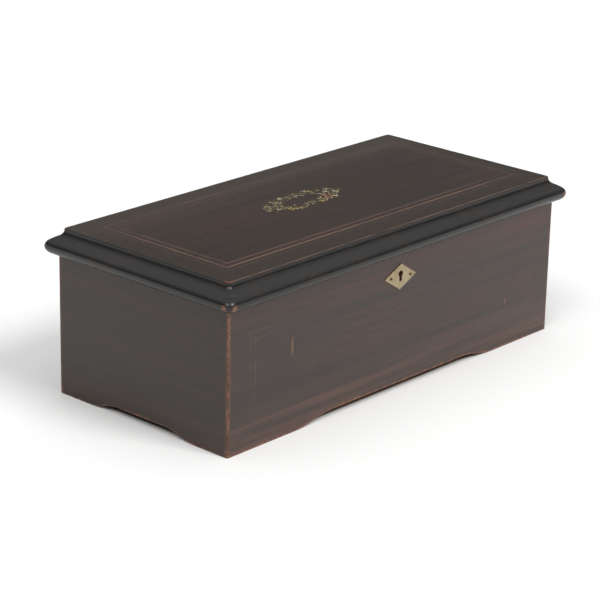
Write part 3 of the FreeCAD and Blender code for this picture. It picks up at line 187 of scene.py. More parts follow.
def tint(code):
    # a screen colour as linear light
    parts = [int(code[i:i + 2], 16) / 255 for i in (1, 3, 5)]
    return tuple(c / 12.92 if c < 0.04045 else ((c + 0.055) / 1.055) ** 2.4 for c in parts)


# shader sums written as plain expressions
class Wire:
    def __init__(self, finish, socket):
        self.finish = finish
        self.socket = socket

    def sum(self, operation, *others):
        parts = dict(enumerate((self,) + others))
        return self.finish.node("ShaderNodeMath", {"operation": operation}, parts)

    def __add__(self, other):
        return self.sum("ADD", other)

    def __sub__(self, other):
        return self.sum("SUBTRACT", other)

    def __rsub__(self, other):
        return self.finish.node("ShaderNodeMath", {"operation": "SUBTRACT"}, {0: other, 1: self})

    def __mul__(self, other):
        return self.sum("MULTIPLY", other)

    def __gt__(self, other):
        return self.sum("GREATER_THAN", other)

    def __lt__(self, other):
        return self.sum("LESS_THAN", other)

    def __abs__(self):
        return self.sum("ABSOLUTE")

    def top(self, other):
        return self.sum("MAXIMUM", other)

    __radd__ = __add__
    __rmul__ = __mul__


class Finish:
    def __init__(self, name, fixed=None):
        self.material = bpy.data.materials.new(name)
        self.material.use_nodes = True
        self.tree = self.material.node_tree
        self.shader = self.tree.nodes["Principled BSDF"]
        for socket, value in (fixed or {}).items():
            self.shader.inputs[socket].default_value = value
        self.place = self.node("ShaderNodeTexCoord", out="Object")
        parts = self.node("ShaderNodeSeparateXYZ", None, {0: self.place}).socket.node.outputs
        self.x, self.y, self.z = (Wire(self, part) * 1000 for part in parts)  # millimetres

    def node(self, kind, settings=None, inputs=None, out=0):
        made = self.tree.nodes.new(kind)
        for key, value in (settings or {}).items():
            setattr(made, key, value)
        for key, value in (inputs or {}).items():
            if isinstance(value, Wire):
                self.tree.links.new(value.socket, made.inputs[key])
            else:
                made.inputs[key].default_value = value
        return Wire(self, made.outputs[out])

    # waves per metre along x, y and z
    def noise(self, stretch, detail, rough, shift=(0, 0, 0)):
        place = {"Vector": self.place, "Scale": stretch, "Location": shift}
        spot = self.node("ShaderNodeMapping", None, place)
        look = {"Vector": spot, "Scale": 1.0, "Detail": detail, "Roughness": rough}
        return self.node("ShaderNodeTexNoise", None, look)

    # a noise drawn out along one axis
    def grain(self, axis, across, along, detail, rough, shift=(0, 0, 0)):
        stretch = [across, across, across]
        stretch[axis] = along
        return self.noise(stretch, detail, rough, shift)

    def rise(self, value, low, high, before=0, after=1):
        steps = {0: value, 1: low, 2: high, 3: before, 4: after}
        return self.node("ShaderNodeMapRange", {"interpolation_type": "SMOOTHSTEP"}, steps)

    def between(self, value, low, high, soft):
        return self.rise(value, low - soft, low + soft) * self.rise(value, high - soft, high + soft, 1, 0)

    def line(self, distance, width, soft, share=1):
        return self.rise(abs(distance), width / 2 - soft, width / 2 + soft, share, 0)

    # how far a point lies past the sides of a rectangle
    def past(self, across, upward, half):
        return (abs(across) - half[0]).top(abs(upward) - half[1])

    def fromCorner(self, half):
        return (half[0] - abs(self.x)).top(half[1] - abs(self.y))

    def mix(self, share, first, second):
        ends = [(*c, 1) if isinstance(c, tuple) else c for c in (first, second)]
        return self.node("ShaderNodeMix", {"data_type": "RGBA"}, {0: share, 6: ends[0], 7: ends[1]}, 2)

    def lay(self, under, over, value, steps):
        return self.mix(self.rise(value, *steps), under, over)

    def bump(self, height, strength, depth):
        return self.node("ShaderNodeBump", None, {"Strength": strength, "Distance": depth, "Height": height})

    def dress(self, colour, rough=None, normal=None):
        wires = {"Base Color": colour, "Roughness": rough, "Normal": normal}
        for name, wire in wires.items():
            if wire is not None:
                self.tree.links.new(wire.socket, self.shader.inputs[name])
        return self


# dark veneer of the case and the lid
# in every finish places and widths are in millimetres, a rise is where it begins and ends and, where
# not 0 and 1, its value before and after, and a relief is its strength and its depth in metres
veneer = {
    "dark": tint("#2b231e"), "mid": tint("#332822"), "red": tint("#4b2c22"), "pore": tint("#1a1512"),
    "line": tint("#8a6755"), "raw": tint("#7f573f"), "low": tint("#563d33"),
    "dull": {"Specular IOR Level": 0.43}, "rough": 0.32, "closeRough": 0.14, "cloudRough": 0.08,
    "relief": (0.2, 0.0002), "poreRelief": 0.5, "closeRelief": 0.3,
    "broad": (55, 1.5, 4, 0.6), "close": (230, 4.5, 3, 0.6, (3, 1, 2)), "pores": (2200, 70, 1, 0.5),
    "cloud": ((8, 8, 8), 2, 0.5, (5, 2, 8)), "broadPart": 0.45, "closePart": 0.55,
    "midShare": (0.36, 0.58), "redShare": (0.42, 0.66), "poreShare": (0.56, 0.7, 0, 0.7),
    "cloudPatch": (0.36, 0.62, 0, 0.55), "waist": 62, "waistPatch": (24, 54, 0, 0.5),
    "footPatch": (10, 42, 0.45, 0),
}


def veneerGrain(wood, axis, red):
    look = veneer
    broad = wood.grain(axis, *look["broad"])
    close = wood.grain(axis, *look["close"])
    pores = wood.grain(axis, *look["pores"])
    cloud = wood.noise(*look["cloud"])
    streak = broad * look["broadPart"] + close * look["closePart"]
    colour = wood.lay(look["dark"], look["mid"], streak, look["midShare"])
    # redder in patches, near the lid and near the feet
    patch = wood.rise(cloud, *look["cloudPatch"])
    patch = patch + wood.rise(abs(wood.z - look["waist"]), *look["waistPatch"])
    patch = patch + wood.rise(wood.z, *look["footPatch"])
    colour = wood.mix(wood.rise(streak, *look["redShare"]) * patch * red, colour, look["red"])
    colour = wood.lay(colour, look["pore"], pores, look["poreShare"])
    height = pores * look["poreRelief"] + close * look["closeRelief"]
    rough = look["rough"] + (close - 0.5) * look["closeRough"] + (cloud - 0.5) * look["cloudRough"]
    return colour, height, rough, streak


# a string is its middle, half length, half height, width, softness and share; a mark is its
# place, sway, width, softness, lower end, upper end and softness of the ends
frontLook = {
    "red": 1, "face": -98, "midHeight": 62.5, "figure": (0.42, 0.6, 0.25, 0.85),
    "footShare": (12, 54, 1, 0), "topShare": (90, 120, 0, 0.25),
    "strings": ((-0.2, 185.3, 37.5, 0.9, 0.4, 0.65), (0.4, 179.4, 31.5, 1.1, 0.45, 1),
                (0, 182.5, 34.3, 0.9, 0.4, 0.45)),
    "faint": ((14, 14, 60), 3, 0.6, (1, 4, 2)), "faintShare": (0.25, 0.6), "stringLeast": 0.03,
    "leftShare": (-182, -140, 0.18, 0), "rightShare": (120, 185, 0, 0.07), "lowShare": (30, 60, 0.35, 1),
    "marks": ((-135, 1.6, 2.2, 1.1, 69, 82, 4), (146.5, 1, 1.3, 0.6, 41, 46, 1.5)),
    "ragged": ((900, 900, 160), 2, 0.6), "mark": tint("#a06a48"), "markShare": 0.42,
}


def longVeneer():
    look = frontLook
    wood = Finish("longVeneer")
    colour, height, rough, streak = veneerGrain(wood, 0, look["red"])
    # brown figure towards the feet, red under the lid
    figure = wood.rise(wood.z, *look["footShare"]) * wood.rise(streak, *look["figure"])
    colour = wood.mix(figure, colour, veneer["low"])
    colour = wood.lay(colour, veneer["red"], wood.z, look["topShare"])
    # stringing round the front, worn away towards the right
    onFront = wood.y < look["face"]
    strings = []
    for middle, halfLength, halfHeight, width, soft, share in look["strings"]:
        edge = wood.past(wood.x - middle, wood.z - look["midHeight"], (halfLength, halfHeight))
        strings.append(wood.line(edge, width, soft, share))
    kept = wood.rise(wood.x, *look["leftShare"]) + wood.rise(wood.x, *look["rightShare"])
    kept = (kept + look["stringLeast"]) * wood.rise(wood.z, *look["lowShare"])
    kept = kept * wood.rise(wood.noise(*look["faint"]), *look["faintShare"])
    colour = wood.mix(reduce(Wire.top, strings) * onFront * kept, colour, veneer["line"])
    # upright scratches
    ragged = wood.noise(*look["ragged"])
    marks = []
    for at, sway, width, soft, low, high, endSoft in look["marks"]:
        upright = wood.line(wood.x - at + ragged * sway, width, soft, look["markShare"])
        marks.append(upright * wood.between(wood.z, low, high, endSoft))
    colour = wood.mix(reduce(Wire.top, marks) * onFront, colour, look["mark"])
    colour, rough = edgeWear(wood, colour, rough, wood.x, *wear["long"])
    return wood.dress(colour, rough, wood.bump(height, *veneer["relief"]))


def endVeneer():
    wood = Finish("endVeneer", veneer["dull"])
    colour, height, rough = veneerGrain(wood, 1, wear["endRed"])[:3]
    colour, rough = edgeWear(wood, colour, rough, wood.y, *wear["end"])
    return wood.dress(colour, rough, wood.bump(height, *veneer["relief"]))


# rubbed corners, feet and cut-outs: long and end are half a cut-out's length, its curve's run and
# how broken the wear is
wear = {
    "brown": tint("#523122"), "pale": tint("#9a694a"), "corner": (210, 98.5), "arch": 6.3, "endRed": 0.3,
    "long": (134, 50, 0), "end": (64, 38, 0.8),
    "chips": ((150, 150, 48), 4, 0.65, (2, 7, 3)), "grit": ((420, 420, 210), 4, 0.7, (1, 1, 4)),
    "low": (3, 9, 1, 0), "lowWider": 1.5, "lowMore": 0.2, "softRagged": 8, "softShare": (1.2, 4.4, 0.8, 0),
    "sharpRagged": 7, "sharpShare": (0.6, 2.5, 1, 0), "footRagged": 7, "footShare": (0.3, 1.9, 1, 0),
    "patches": (0.48, 0.58), "bare": (0.44, 0.56), "bareShare": 0.72, "bareRough": 0.15,
    "rawShare": (0.3, 0.5), "speckShare": (0.5, 0.6, 0, 0.65),
}


def edgeWear(wood, colour, rough, along, half, run, patchy):
    chips = wood.noise(*wear["chips"])
    grit = wood.noise(*wear["grit"])
    fromCorner = wood.fromCorner(wear["corner"])
    low = wood.rise(wood.z, *wear["low"])
    ragged = fromCorner + (chips - 0.5) * wear["softRagged"]
    colour = wood.lay(colour, wear["brown"], ragged, wear["softShare"])
    ragged = fromCorner + (grit - 0.5) * wear["sharpRagged"] - low * wear["lowWider"]
    sharp = wood.rise(ragged, *wear["sharpShare"])
    edge = wood.rise(abs(along), half - run, half, wear["arch"], 0)
    foot = wood.rise(wood.z - edge + (grit - 0.5) * wear["footRagged"], *wear["footShare"])
    foot = foot * wood.rise(chips, *wear["patches"], 1 - patchy, 1)
    bare = (sharp * wood.rise(chips + low * wear["lowMore"], *wear["bare"])).top(foot)
    raw = wood.lay(wear["pale"], veneer["raw"], grit, wear["rawShare"])
    colour = wood.mix(bare * wear["bareShare"], colour, raw)
    colour = wood.mix(sharp * wood.rise(grit, *wear["speckShare"]), colour, veneer["pore"])
    return colour, rough + bare * wear["bareRough"]


# a string is its distance outside the edge of the field, width, softness and share
lidLook = {
    "red": 0.3, "centre": (3.5, 2.8), "half": (184.7, 71.2), "relief": (0.1, 0.0002), "under": 144.5,
    "border": tint("#302a21"), "borderShare": (-0.4, 0.4, 0, 0.6),
    # paintedSheen is a painted sheen, lighter towards the back of the lid
    "paintedSheen": tint("#504840"), "paintedSheenShare": (10, 95, 0, 0.3),
    "strings": ((0, 2.0, 0.9, 0.68), (-7, 1.7, 0.8, 0.42), (6, 1.4, 0.7, 0.2)),
    "faint": ((25, 25, 25), 3, 0.6, (1, 4, 2)), "faintShare": (0.3, 0.6, 0.45, 1),
    "backLoss": (20, 60, 0, 0.55), "rightLoss": (120, 180, 0, 0.55), "leftShare": (-182, -172, 0.8, 1),
    "rim": (206.9, 95.4), "rub": tint("#8b6250"), "rubRagged": 1.5, "rubShare": (-1.6, -0.7, 0, 0.65),
    "rubFaint": (0.3, 0.5), "rubFront": (-94.5, -92.5, 1, 0),
    "tip": tint("#9c4a33"), "tipShare": (-2.5, -0.5, 0, 0.8), "tipLeft": (-204, -198, 1, 0),
    "tipFront": (-92, -88, 1, 0),
}


def lidVeneer():
    look = lidLook
    wood = Finish("lidVeneer", veneer["dull"])
    colour, height, rough = veneerGrain(wood, 0, look["red"])[:3]
    field = wood.past(wood.x - look["centre"][0], wood.y - look["centre"][1], look["half"])
    colour = wood.lay(colour, look["border"], field, look["borderShare"])
    # painted sheen: the lid turns lighter towards the back
    colour = wood.lay(colour, look["paintedSheen"], wood.y, look["paintedSheenShare"])
    # stringing, worn towards the back and the right
    faint = wood.noise(*look["faint"])
    strings = [wood.line(field - out, *string) for out, *string in look["strings"]]
    kept = 1 - wood.rise(wood.y, *look["backLoss"]).top(wood.rise(wood.x, *look["rightLoss"]))
    kept = kept * wood.rise(wood.x, *look["leftShare"]) * wood.rise(faint, *look["faintShare"])
    colour = wood.mix(reduce(Wire.top, strings) * kept, colour, veneer["line"])
    # rubbed line where the panel meets its moulding along the front
    rim = wood.past(wood.x, wood.y, look["rim"])
    rub = wood.rise(rim + (faint - 0.5) * look["rubRagged"], *look["rubShare"])
    rub = rub * wood.rise(wood.y, *look["rubFront"]) * wood.rise(faint, *look["rubFaint"])
    colour = wood.mix(rub, colour, look["rub"])
    tip = wood.rise(wood.x, *look["tipLeft"]) * wood.rise(wood.y, *look["tipFront"])
    colour = wood.mix(tip * wood.rise(rim, *look["tipShare"]), colour, look["tip"])
    # plain wood under the lid
    under, underRough, underHeight = bareGrain(wood, 0, "plain")
    below = wood.z < look["under"]
    colour = wood.mix(below, colour, under)
    rough = rough + below * (underRough - rough)
    height = height + below * (underHeight - height)
    return wood.dress(colour, rough, wood.bump(height, *look["relief"]))


# black moulding of the lid; a band is its lower side, upper side and softness
ebony = {
    "black": tint("#151413"), "brown": tint("#241c18"), "chip": tint("#8c5b3d"), "dust": tint("#75706a"),
    "rough": 0.21, "cloudRough": 0.12, "fineRough": 0.06, "relief": (0.06, 0.0003),
    "cloud": ((30, 30, 30), 3, 0.6), "fine": ((500, 500, 500), 2, 0.5),
    "specks": ((330, 330, 330), 2, 0.5, (4, 1, 9)), "chips": ((150, 150, 150), 3, 0.6, (6, 2, 1)),
    "grit": ((600, 600, 600), 3, 0.7, (1, 8, 3)),
    "brownShare": (0.45, 0.8), "dustShare": (0.73, 0.77, 0, 0.5),
    "corner": (220.2, 108.7), "cornerBand": (4.8, 8.6, 1.3), "rollBand": (125.5, 132.5, 1.5),
    "rightMore": (195, 205, 0, 0.12), "chipShare": (0.44, 0.52, 0, 0.85), "gritShare": (0.38, 0.54),
    "topRough": (144.6, 145.8, 0, 0.25),
}


def ebonyFinish():
    look = ebony
    wood = Finish("ebonisedWood")
    cloud = wood.noise(*look["cloud"])
    fine = wood.noise(*look["fine"])
    colour = wood.lay(look["black"], look["brown"], cloud, look["brownShare"])
    colour = wood.lay(colour, look["dust"], wood.noise(*look["specks"]), look["dustShare"])
    # corners of the roll are rubbed to the wood
    rub = wood.between(wood.fromCorner(look["corner"]), *look["cornerBand"])
    rub = rub * wood.between(wood.z, *look["rollBand"])
    chips = wood.noise(*look["chips"]) + wood.rise(wood.x, *look["rightMore"])
    rub = rub * wood.rise(chips, *look["chipShare"])
    rub = rub * wood.rise(wood.noise(*look["grit"]), *look["gritShare"])
    colour = wood.mix(rub, colour, look["chip"])
    rough = look["rough"] + cloud * look["cloudRough"] + fine * look["fineRough"]
    rough = rough + wood.rise(wood.z, *look["topRough"])
    return wood.dress(colour, rough, wood.bump(fine + cloud, *look["relief"]))


# plain wood of the inside, the partitions and the edges under the case
bareWood = {
    "plain": (tint("#a47d52"), tint("#7a5635")), "edge": (tint("#6b4a30"), tint("#3c2a1e")),
    "pore": tint("#4d3622"), "rough": 0.5, "fibreRough": 0.2, "relief": (0.2, 0.0002),
    "rings": (90, 4, 3, 0.6), "fibre": (700, 24, 3, 0.6), "pores": (2600, 120, 1, 0.5, (4, 4, 4)),
    "stain": ((14, 14, 14), 3, 0.5, (2, 2, 2)), "ringPart": 0.55, "fibrePart": 0.45,
    "deepShare": (0.36, 0.62), "poreShare": (0.58, 0.7, 0, 0.5), "stainShare": (0.5, 0.75, 0, 0.35),
}


def bareGrain(wood, axis, kind):
    look = bareWood
    rings = wood.grain(axis, *look["rings"])
    fibre = wood.grain(axis, *look["fibre"])
    pores = wood.grain(axis, *look["pores"])
    stain = wood.noise(*look["stain"])
    figure = rings * look["ringPart"] + fibre * look["fibrePart"]
    colour = wood.lay(*bareWood[kind], figure, look["deepShare"])
    colour = wood.lay(colour, look["pore"], pores, look["poreShare"])
    colour = wood.lay(colour, look["pore"], stain, look["stainShare"])
    return colour, look["rough"] + (fibre - 0.5) * look["fibreRough"], fibre + pores


def bareWoodFinish(name, axis, kind):
    wood = Finish(name)
    colour, rough, height = bareGrain(wood, axis, kind)
    return wood.dress(colour, rough, wood.bump(height, *bareWood["relief"]))


# finishes of a few noises laid over one another: a layer is its colour, noise and rise, and rough
# is the mean roughness, with what each noise changes
def layered(name, look):
    finish = Finish(name, look["shader"])
    noises = {key: finish.noise(*noise) for key, noise in look["noises"].items()}
    colour = look["colour"]
    for over, key, steps in look["layers"]:
        colour = finish.lay(colour, over, noises[key], steps)
    rough = look["rough"]
    for key, change in look["changes"].items():
        rough = rough + (noises[key] - 0.5) * change
    return finish.dress(colour, rough, finish.bump(noises[look["raised"]], *look["relief"]))


# a metal is its bright, dull and stained colour, roughness, grain, share of stains and relief
metals = {
    "brass": ("#d0ab62", "#b6914d", "#6b5228", 0.24, (60, 900, 900), 0.2, 0.05),
    "old_brass": ("#ad9d81", "#988769", "#54462f", 0.36, (500, 500, 500), 0.6, 0.08),
    "steel": ("#b4b4b2", "#93938f", "#6a5a48", 0.26, (900, 70, 900), 0.3, 0.05),
    "blued_steel": ("#2f3f66", "#26314a", "#3f2f3f", 0.22, (600, 600, 600), 0.4, 0.04),
    "dark_brass": ("#6f5b39", "#57462b", "#2f2517", 0.42, (500, 500, 500), 0.6, 0.1),
    "lead": ("#74757a", "#5c5d60", "#8b8b88", 0.55, (300, 300, 300), 0.5, 0.2),
}


def metalLook(bright, dull, stain, rough, waves, stained, strength):
    return {
        "shader": {"Metallic": 1.0}, "colour": tint(bright), "rough": rough,
        "noises": {"cloud": ((45, 45, 45), 3, 0.6), "grain": (waves, 2, 0.5),
                   "spots": ((420, 420, 420), 2, 0.5, (3, 5, 1))},
        "layers": ((tint(dull), "cloud", (0.35, 0.68)), (tint(stain), "spots", (0.62, 0.74, 0, stained))),
        "changes": {"cloud": 0.16, "grain": 0.08}, "raised": "grain", "relief": (strength, 0.0002),
    }


ironLook = {
    "shader": {"Metallic": 0.6}, "colour": tint("#8a6f3c"), "rough": 0.46,
    "noises": {"cast": ((260, 260, 260), 3, 0.6), "cloud": ((22, 22, 22), 3, 0.6)},
    "layers": ((tint("#5d4824"), "cloud", (0.35, 0.7)), (tint("#3b352d"), "cast", (0.66, 0.76, 0, 0.6))),
    "changes": {"cast": 0.2}, "raised": "cast", "relief": (0.35, 0.0005),
}
boneLook = {
    "shader": {}, "colour": tint("#e3d8bd"), "rough": 0.375,
    "noises": {"streak": ((300, 300, 40), 3, 0.6), "cloud": ((120, 120, 120), 2, 0.5)},
    "layers": ((tint("#c9b48a"), "streak", (0.4, 0.7)), (tint("#a98c5c"), "cloud", (0.5, 0.75, 0, 0.5))),
    "changes": {"streak": 0.15}, "raised": "streak", "relief": (0.1, 0.0002),
}
glassLook = {
    "shader": {"Transmission Weight": 1.0, "IOR": 1.5, "Specular IOR Level": 1.0, "Alpha": 0.2},
    "clear": (0.97, 0.99, 0.975), "dim": (0.92, 0.95, 0.93), "dimShare": (0.4, 0.8),
    "smear": ((30, 60, 30), 3, 0.6), "wave": ((12, 12, 12), 1, 0.5), "relief": (0.05, 0.0005),
    "rough": (0.55, 0.85, 0.004, 0.034),
}


def glassFinish():
    pane = Finish("lidGlass", glassLook["shader"])
    smear = pane.noise(*glassLook["smear"])
    wave = pane.noise(*glassLook["wave"])
    colour = pane.lay(glassLook["clear"], glassLook["dim"], smear, glassLook["dimShare"])
    rough = pane.rise(smear, *glassLook["rough"])
    return pane.dress(colour, rough, pane.bump(wave, *glassLook["relief"]))


# tune card with a double border, two ruled columns and a rosette in each corner; a border is its
# distance inside the edge, width and softness, and a ring its radius, width and softness
cardLook = {
    "paper": tint("#d9c9a2"), "aged": tint("#b79c6b"), "ink": tint("#6d4b33"),
    "shader": {"Specular IOR Level": 0.25},
    "fibre": ((900, 900, 900), 2, 0.6), "foxing": ((40, 40, 40), 4, 0.65, (3, 3, 3)), "half": (110, 45),
    "foxingShare": (0.45, 0.7, 0, 0.7), "rimShare": (-3, 0, 0, 0.5), "inkShare": 0.8,
    "borders": ((5, 1.4, 0.25), (8, 0.6, 0.2)), "rule": (0.5, 0.15), "ruleApart": 5.5, "ruleGap": 3,
    "ruleShare": (-20, -19, 0.7, 0), "columnEnd": -19, "rosette": (99, 34),
    "rings": ((5.5, 0.7, 0.2), (3.6, 0.4, 0.2)),
    "rough": 0.75, "fibreRough": 0.15, "relief": (0.15, 0.0001),
}


def cardFinish():
    look = cardLook
    card = Finish("tuneCard", look["shader"])
    fibre = card.noise(*look["fibre"])
    foxing = card.noise(*look["foxing"])
    rim = card.past(card.x, card.y, look["half"])
    colour = card.lay(look["paper"], look["aged"], foxing, look["foxingShare"])
    printed = [card.line(rim + inward, *border) for inward, *border in look["borders"]]
    rows = card.node("ShaderNodeMath", {"operation": "PINGPONG"}, {0: card.y, 1: look["ruleApart"]})
    rules = card.line(rows, *look["rule"]) * card.rise(rim, *look["ruleShare"])
    printed.append(rules * (abs(card.x) > look["ruleGap"]))
    printed.append(card.line(card.x, *look["rule"]) * (rim < look["columnEnd"]))
    across = abs(card.x) - look["rosette"][0]
    upward = abs(card.y) - look["rosette"][1]
    apart = (across * across + upward * upward).sum("SQRT")
    printed += [card.line(apart - radius, *ring) for radius, *ring in look["rings"]]
    colour = card.mix(reduce(Wire.top, printed) * look["inkShare"], colour, look["ink"])
    colour = card.lay(colour, look["aged"], rim, look["rimShare"])
    rough = look["rough"] + fibre * look["fibreRough"]
    return card.dress(colour, rough, card.bump(fibre, *look["relief"]))


finishes = {slot: layered(slot.replace("_", "") + "Metal", metalLook(*row)) for slot, row in metals.items()}
finishes["bronzed_iron"] = layered("bronzedIron", ironLook)
finishes["glass"] = glassFinish()
finishes["card"] = cardFinish()
finishes["bone"] = layered("turnedBone", boneLook)
finishes["ebonised"] = ebonyFinish()
finishes["inner_wood"] = bareWoodFinish("innerWood", 0, "plain")
finishes["veneer"] = longVeneer()
crossWood = bareWoodFinish("crossWood", 1, "plain")
edgeWood = bareWoodFinish("boardEdge", 0, "edge")
endFinish = endVeneer()
lidFinish = lidVeneer()
for name, node in nodes.items():
    node.material_slots[0].material = finishes[slotOf[name]].material
nodes["lid_panel"].material_slots[0].material = lidFinish.material
nodes["escutcheon_pins"].material_slots[0].material = finishes["dark_brass"].material
for side in ("left", "right"):
    nodes[side + "_partition"].material_slots[0].material = crossWood.material
print("finishes made:", len(bpy.data.materials))


# the four boards as one veneered case with eased corners, in metres
caseLook = {
    "boards": ("front_board", "back_board", "left_end_board", "right_end_board"),
    "faces": ("long", "end", "inner", "edge", "cross"),
    "half": (0.21, 0.0985), "seam": 0.00002, "flat": 0.6, "shade": 40,
    "mitre": (0.7071, 0.03), "corner": 0.0016, "cornerSteps": 3, "foot": 0.0005, "footSteps": 2,
    "footTop": 0.03, "outside": (0.2098, 0.0983), "downward": (-0.5, -0.2), "underside": -0.6,
    "sideways": 0.3, "skin": (0.208, 0.0965), "inner": 0.1975,
    # the keyhole's walls take the dark edge wood as painted shade
    "keyhole": ((-0.012, 0.006), (-0.0984, -0.0868), (0.09, 0.117)),
    "inside": (0.1979, 0.0864), "archTop": 0.0065, "reach": (-0.01, 1.01),
    "curves": ((0.0915, 0.1205, 0.084, 0.134), (0.025, 0.053, 0.026, 0.064)),
}


def makeCase():
    look = caseLook
    shell = copyOf(look["boards"], "caseShell")
    pickFaces(shell, onMitre)
    meshOps.delete(type="FACE")
    meshOps.select_all(action="SELECT")
    meshOps.remove_doubles(threshold=look["seam"])
    meshOps.dissolve_limited(angle_limit=math.radians(look["flat"]))
    leaveEdit()
    for vertex in shell.data.vertices:
        drawOut(vertex.co)
    pickEdges(shell, cornerEdge)
    meshOps.bevel(offset=look["corner"], segments=look["cornerSteps"])
    pickEdges(shell, footEdge)
    meshOps.bevel(offset=look["foot"], segments=look["footSteps"], clamp_overlap=True)
    evenShade(shell, look["shade"])
    woods = (finishes["veneer"], endFinish, finishes["inner_wood"], edgeWood, crossWood)
    paint(shell, dict(zip(look["faces"], woods)), caseSide)
    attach(shell, "case")
    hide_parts(*caseLook["boards"])
    return shell


def onMitre(at, way):
    slope, slack = caseLook["mitre"]
    return all(abs(abs(part) - slope) < slack for part in way.xy)


def drawOut(place):
    # the curves at the ends of the cut-outs, drawn out longer than on the boards
    least, most = caseLook["reach"]
    for axis, (low, high, newLow, newHigh) in enumerate(caseLook["curves"]):
        share = (abs(place[axis]) - low) / (high - low)
        onEdge = place.z < caseLook["archTop"] and abs(place[1 - axis]) > caseLook["inside"][1 - axis]
        if onEdge and least < share < most:
            place[axis] = math.copysign(newLow + share * (newHigh - newLow), place[axis])


def cornerEdge(a, b, ways):
    gaps = [abs(abs(v[axis]) - caseLook["half"][axis]) for v in (a, b) for axis in (0, 1)]
    return max(gaps) < near


def footEdge(a, b, ways):
    if len(ways) != 2 or min(a.z, b.z) > caseLook["footTop"]:
        return False
    outX, outY = caseLook["outside"]
    outside = all(abs(v.x) > outX or abs(v.y) > outY for v in (a, b))
    below, beside = caseLook["downward"]
    return outside and min(way.z for way in ways) < below and max(way.z for way in ways) > beside


def caseSide(at, way):
    look = caseLook
    # painted shade: the walls of the keyhole take the dark edge wood
    if all(low < part < high for part, (low, high) in zip(at, look["keyhole"])):
        return "edge"
    if way.z < look["underside"] and at.z < look["footTop"]:
        return "edge"
    skinX, skinY = look["skin"]
    if abs(at.y) > skinY and abs(way.y) > look["sideways"] and abs(way.y) >= abs(way.x):
        return "long"
    if abs(at.x) > skinX and abs(way.x) > look["sideways"]:
        return "end"
    return "cross" if abs(at.x) > look["inner"] else "inner"


caseShell = makeCase()
print("case:", len(caseShell.data.polygons), "faces")


# lid moulding in one run, its roll rounded to a ball at each corner; body, recesses, veneerTop and
# inner are in metres, the rest in millimetres, a point being its distance out and its height
mouldingLook = {
    "body": (0.21, 0.0985), "steps": 7, "shade": 40, "back": -12, "under": 125.2, "underOut": -4,
    "roll": (4.2, 131.2, 6), "rollSteps": 14, "rollFrom": -90, "rollTurn": 160,
    "shoulder": [
        (6.2, 137.05), (3.4, 138.5), (0.8, 139.8), (-0.24, 140.5), (-1.05, 141.27), (-1.68, 142.07),
        (-2.14, 142.86), (-2.46, 143.61), (-2.7, 144.4), (-2.84, 145.12), (-2.9, 145.8), (-3.03, 146.23),
        (-3.28, 146.48), (-3.7, 146.6), (-4.6, 146.6), (-4.6, 137), (-12, 137),
    ],
    "recesses": [
        ((0.12, 0.094, 0.125), (0.0451, 0.0152, 0.0036)), ((-0.12, 0.094, 0.125), (0.0451, 0.0152, 0.0036)),
        ((-0.003, -0.0912, 0.125), (0.0321, 0.0096, 0.0036)),
    ],
    "rollTop": 137.2, "sharp": 0.4, "rollRound": 7, "rollRun": 13, "innerEdge": -4.5, "topEdge": -3.7,
    "topRound": 3, "topMore": 2, "topRun": 8, "veneerTop": 0.1464, "inner": (0.1982, 0.0867),
}


def mouldingProfile():
    look = mouldingLook
    across, up, radius = look["roll"]
    points = [(look["back"], look["under"]), (look["underOut"], look["under"])]
    for step in range(look["rollSteps"] + 1):
        angle = math.radians(look["rollFrom"] + look["rollTurn"] * step / look["rollSteps"])
        points.append((across + radius * math.cos(angle), up + radius * math.sin(angle)))
    return points + look["shoulder"]


def cornerRadius(out, up):
    look = mouldingLook
    if up < look["rollTop"]:
        rounded = look["rollRound"] * (out - look["back"]) / look["rollRun"]
        return max(look["sharp"], min(look["rollRound"], rounded))
    if out > look["innerEdge"]:
        return look["topRound"] + look["topMore"] * min(1.0, (out - look["topEdge"]) / look["topRun"])
    return look["sharp"]


def ringPoints(out, up):
    radius = cornerRadius(out, up) / 1000
    halfX, halfY = (half + out / 1000 - radius for half in mouldingLook["body"])
    ring = []
    for corner, (sideX, sideY) in enumerate(((1, 1), (-1, 1), (-1, -1), (1, -1))):
        for step in range(mouldingLook["steps"] + 1):
            angle = math.pi / 2 * (corner + step / mouldingLook["steps"])
            x = sideX * halfX + radius * math.cos(angle)
            y = sideY * halfY + radius * math.sin(angle)
            ring.append((x, y, up / 1000))
    return ring


def makeMoulding():
    sides = ["lid_moulding_" + side for side in ("front", "back", "left", "right")]
    rings = [ringPoints(*point) for point in mouldingProfile()]
    count = len(rings[0])
    corners = [corner for ring in rings for corner in ring]
    faces = []
    for level in range(len(rings)):
        after = (level + 1) % len(rings)
        for i in range(count):
            j = (i + 1) % count
            faces.append((level * count + i, level * count + j, after * count + j, after * count + i))
    mesh = bpy.data.meshes.new("lidMoulding")
    mesh.from_pydata(corners, [], faces)
    run = bpy.data.objects.new("lidMoulding", mesh)
    scene.collection.objects.link(run)
    editAll(run)
    meshOps.normals_make_consistent()
    leaveEdit()
    for at, size in mouldingLook["recesses"]:  # beds for the hinge leaves and the catch
        meshOps.primitive_cube_add(size=1, location=at, scale=size)
        cutter = settle(added("recessCutter"))
        work(run)
        objectOps.modifier_add(type="BOOLEAN")
        run.modifiers[-1].object = cutter
        objectOps.modifier_apply(modifier=run.modifiers[-1].name)
        bpy.data.objects.remove(cutter)
    smooth(run, mouldingLook["shade"])
    choices = {"out": finishes["ebonised"], "inner": finishes["inner_wood"], "top": lidFinish}
    paint(run, choices, mouldingSide)
    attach(run, "lid")
    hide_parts(*sides)
    return run


def mouldingSide(at, way):
    # the lid's veneer runs out to the edge
    if at.z > mouldingLook["veneerTop"] and way.z > facing:
        return "top"
    innerX, innerY = mouldingLook["inner"]
    return "inner" if abs(at.x) < innerX and abs(at.y) < innerY else "out"


lidMoulding = makeMoulding()
print("moulding:", len(lidMoulding.data.polygons), "faces")


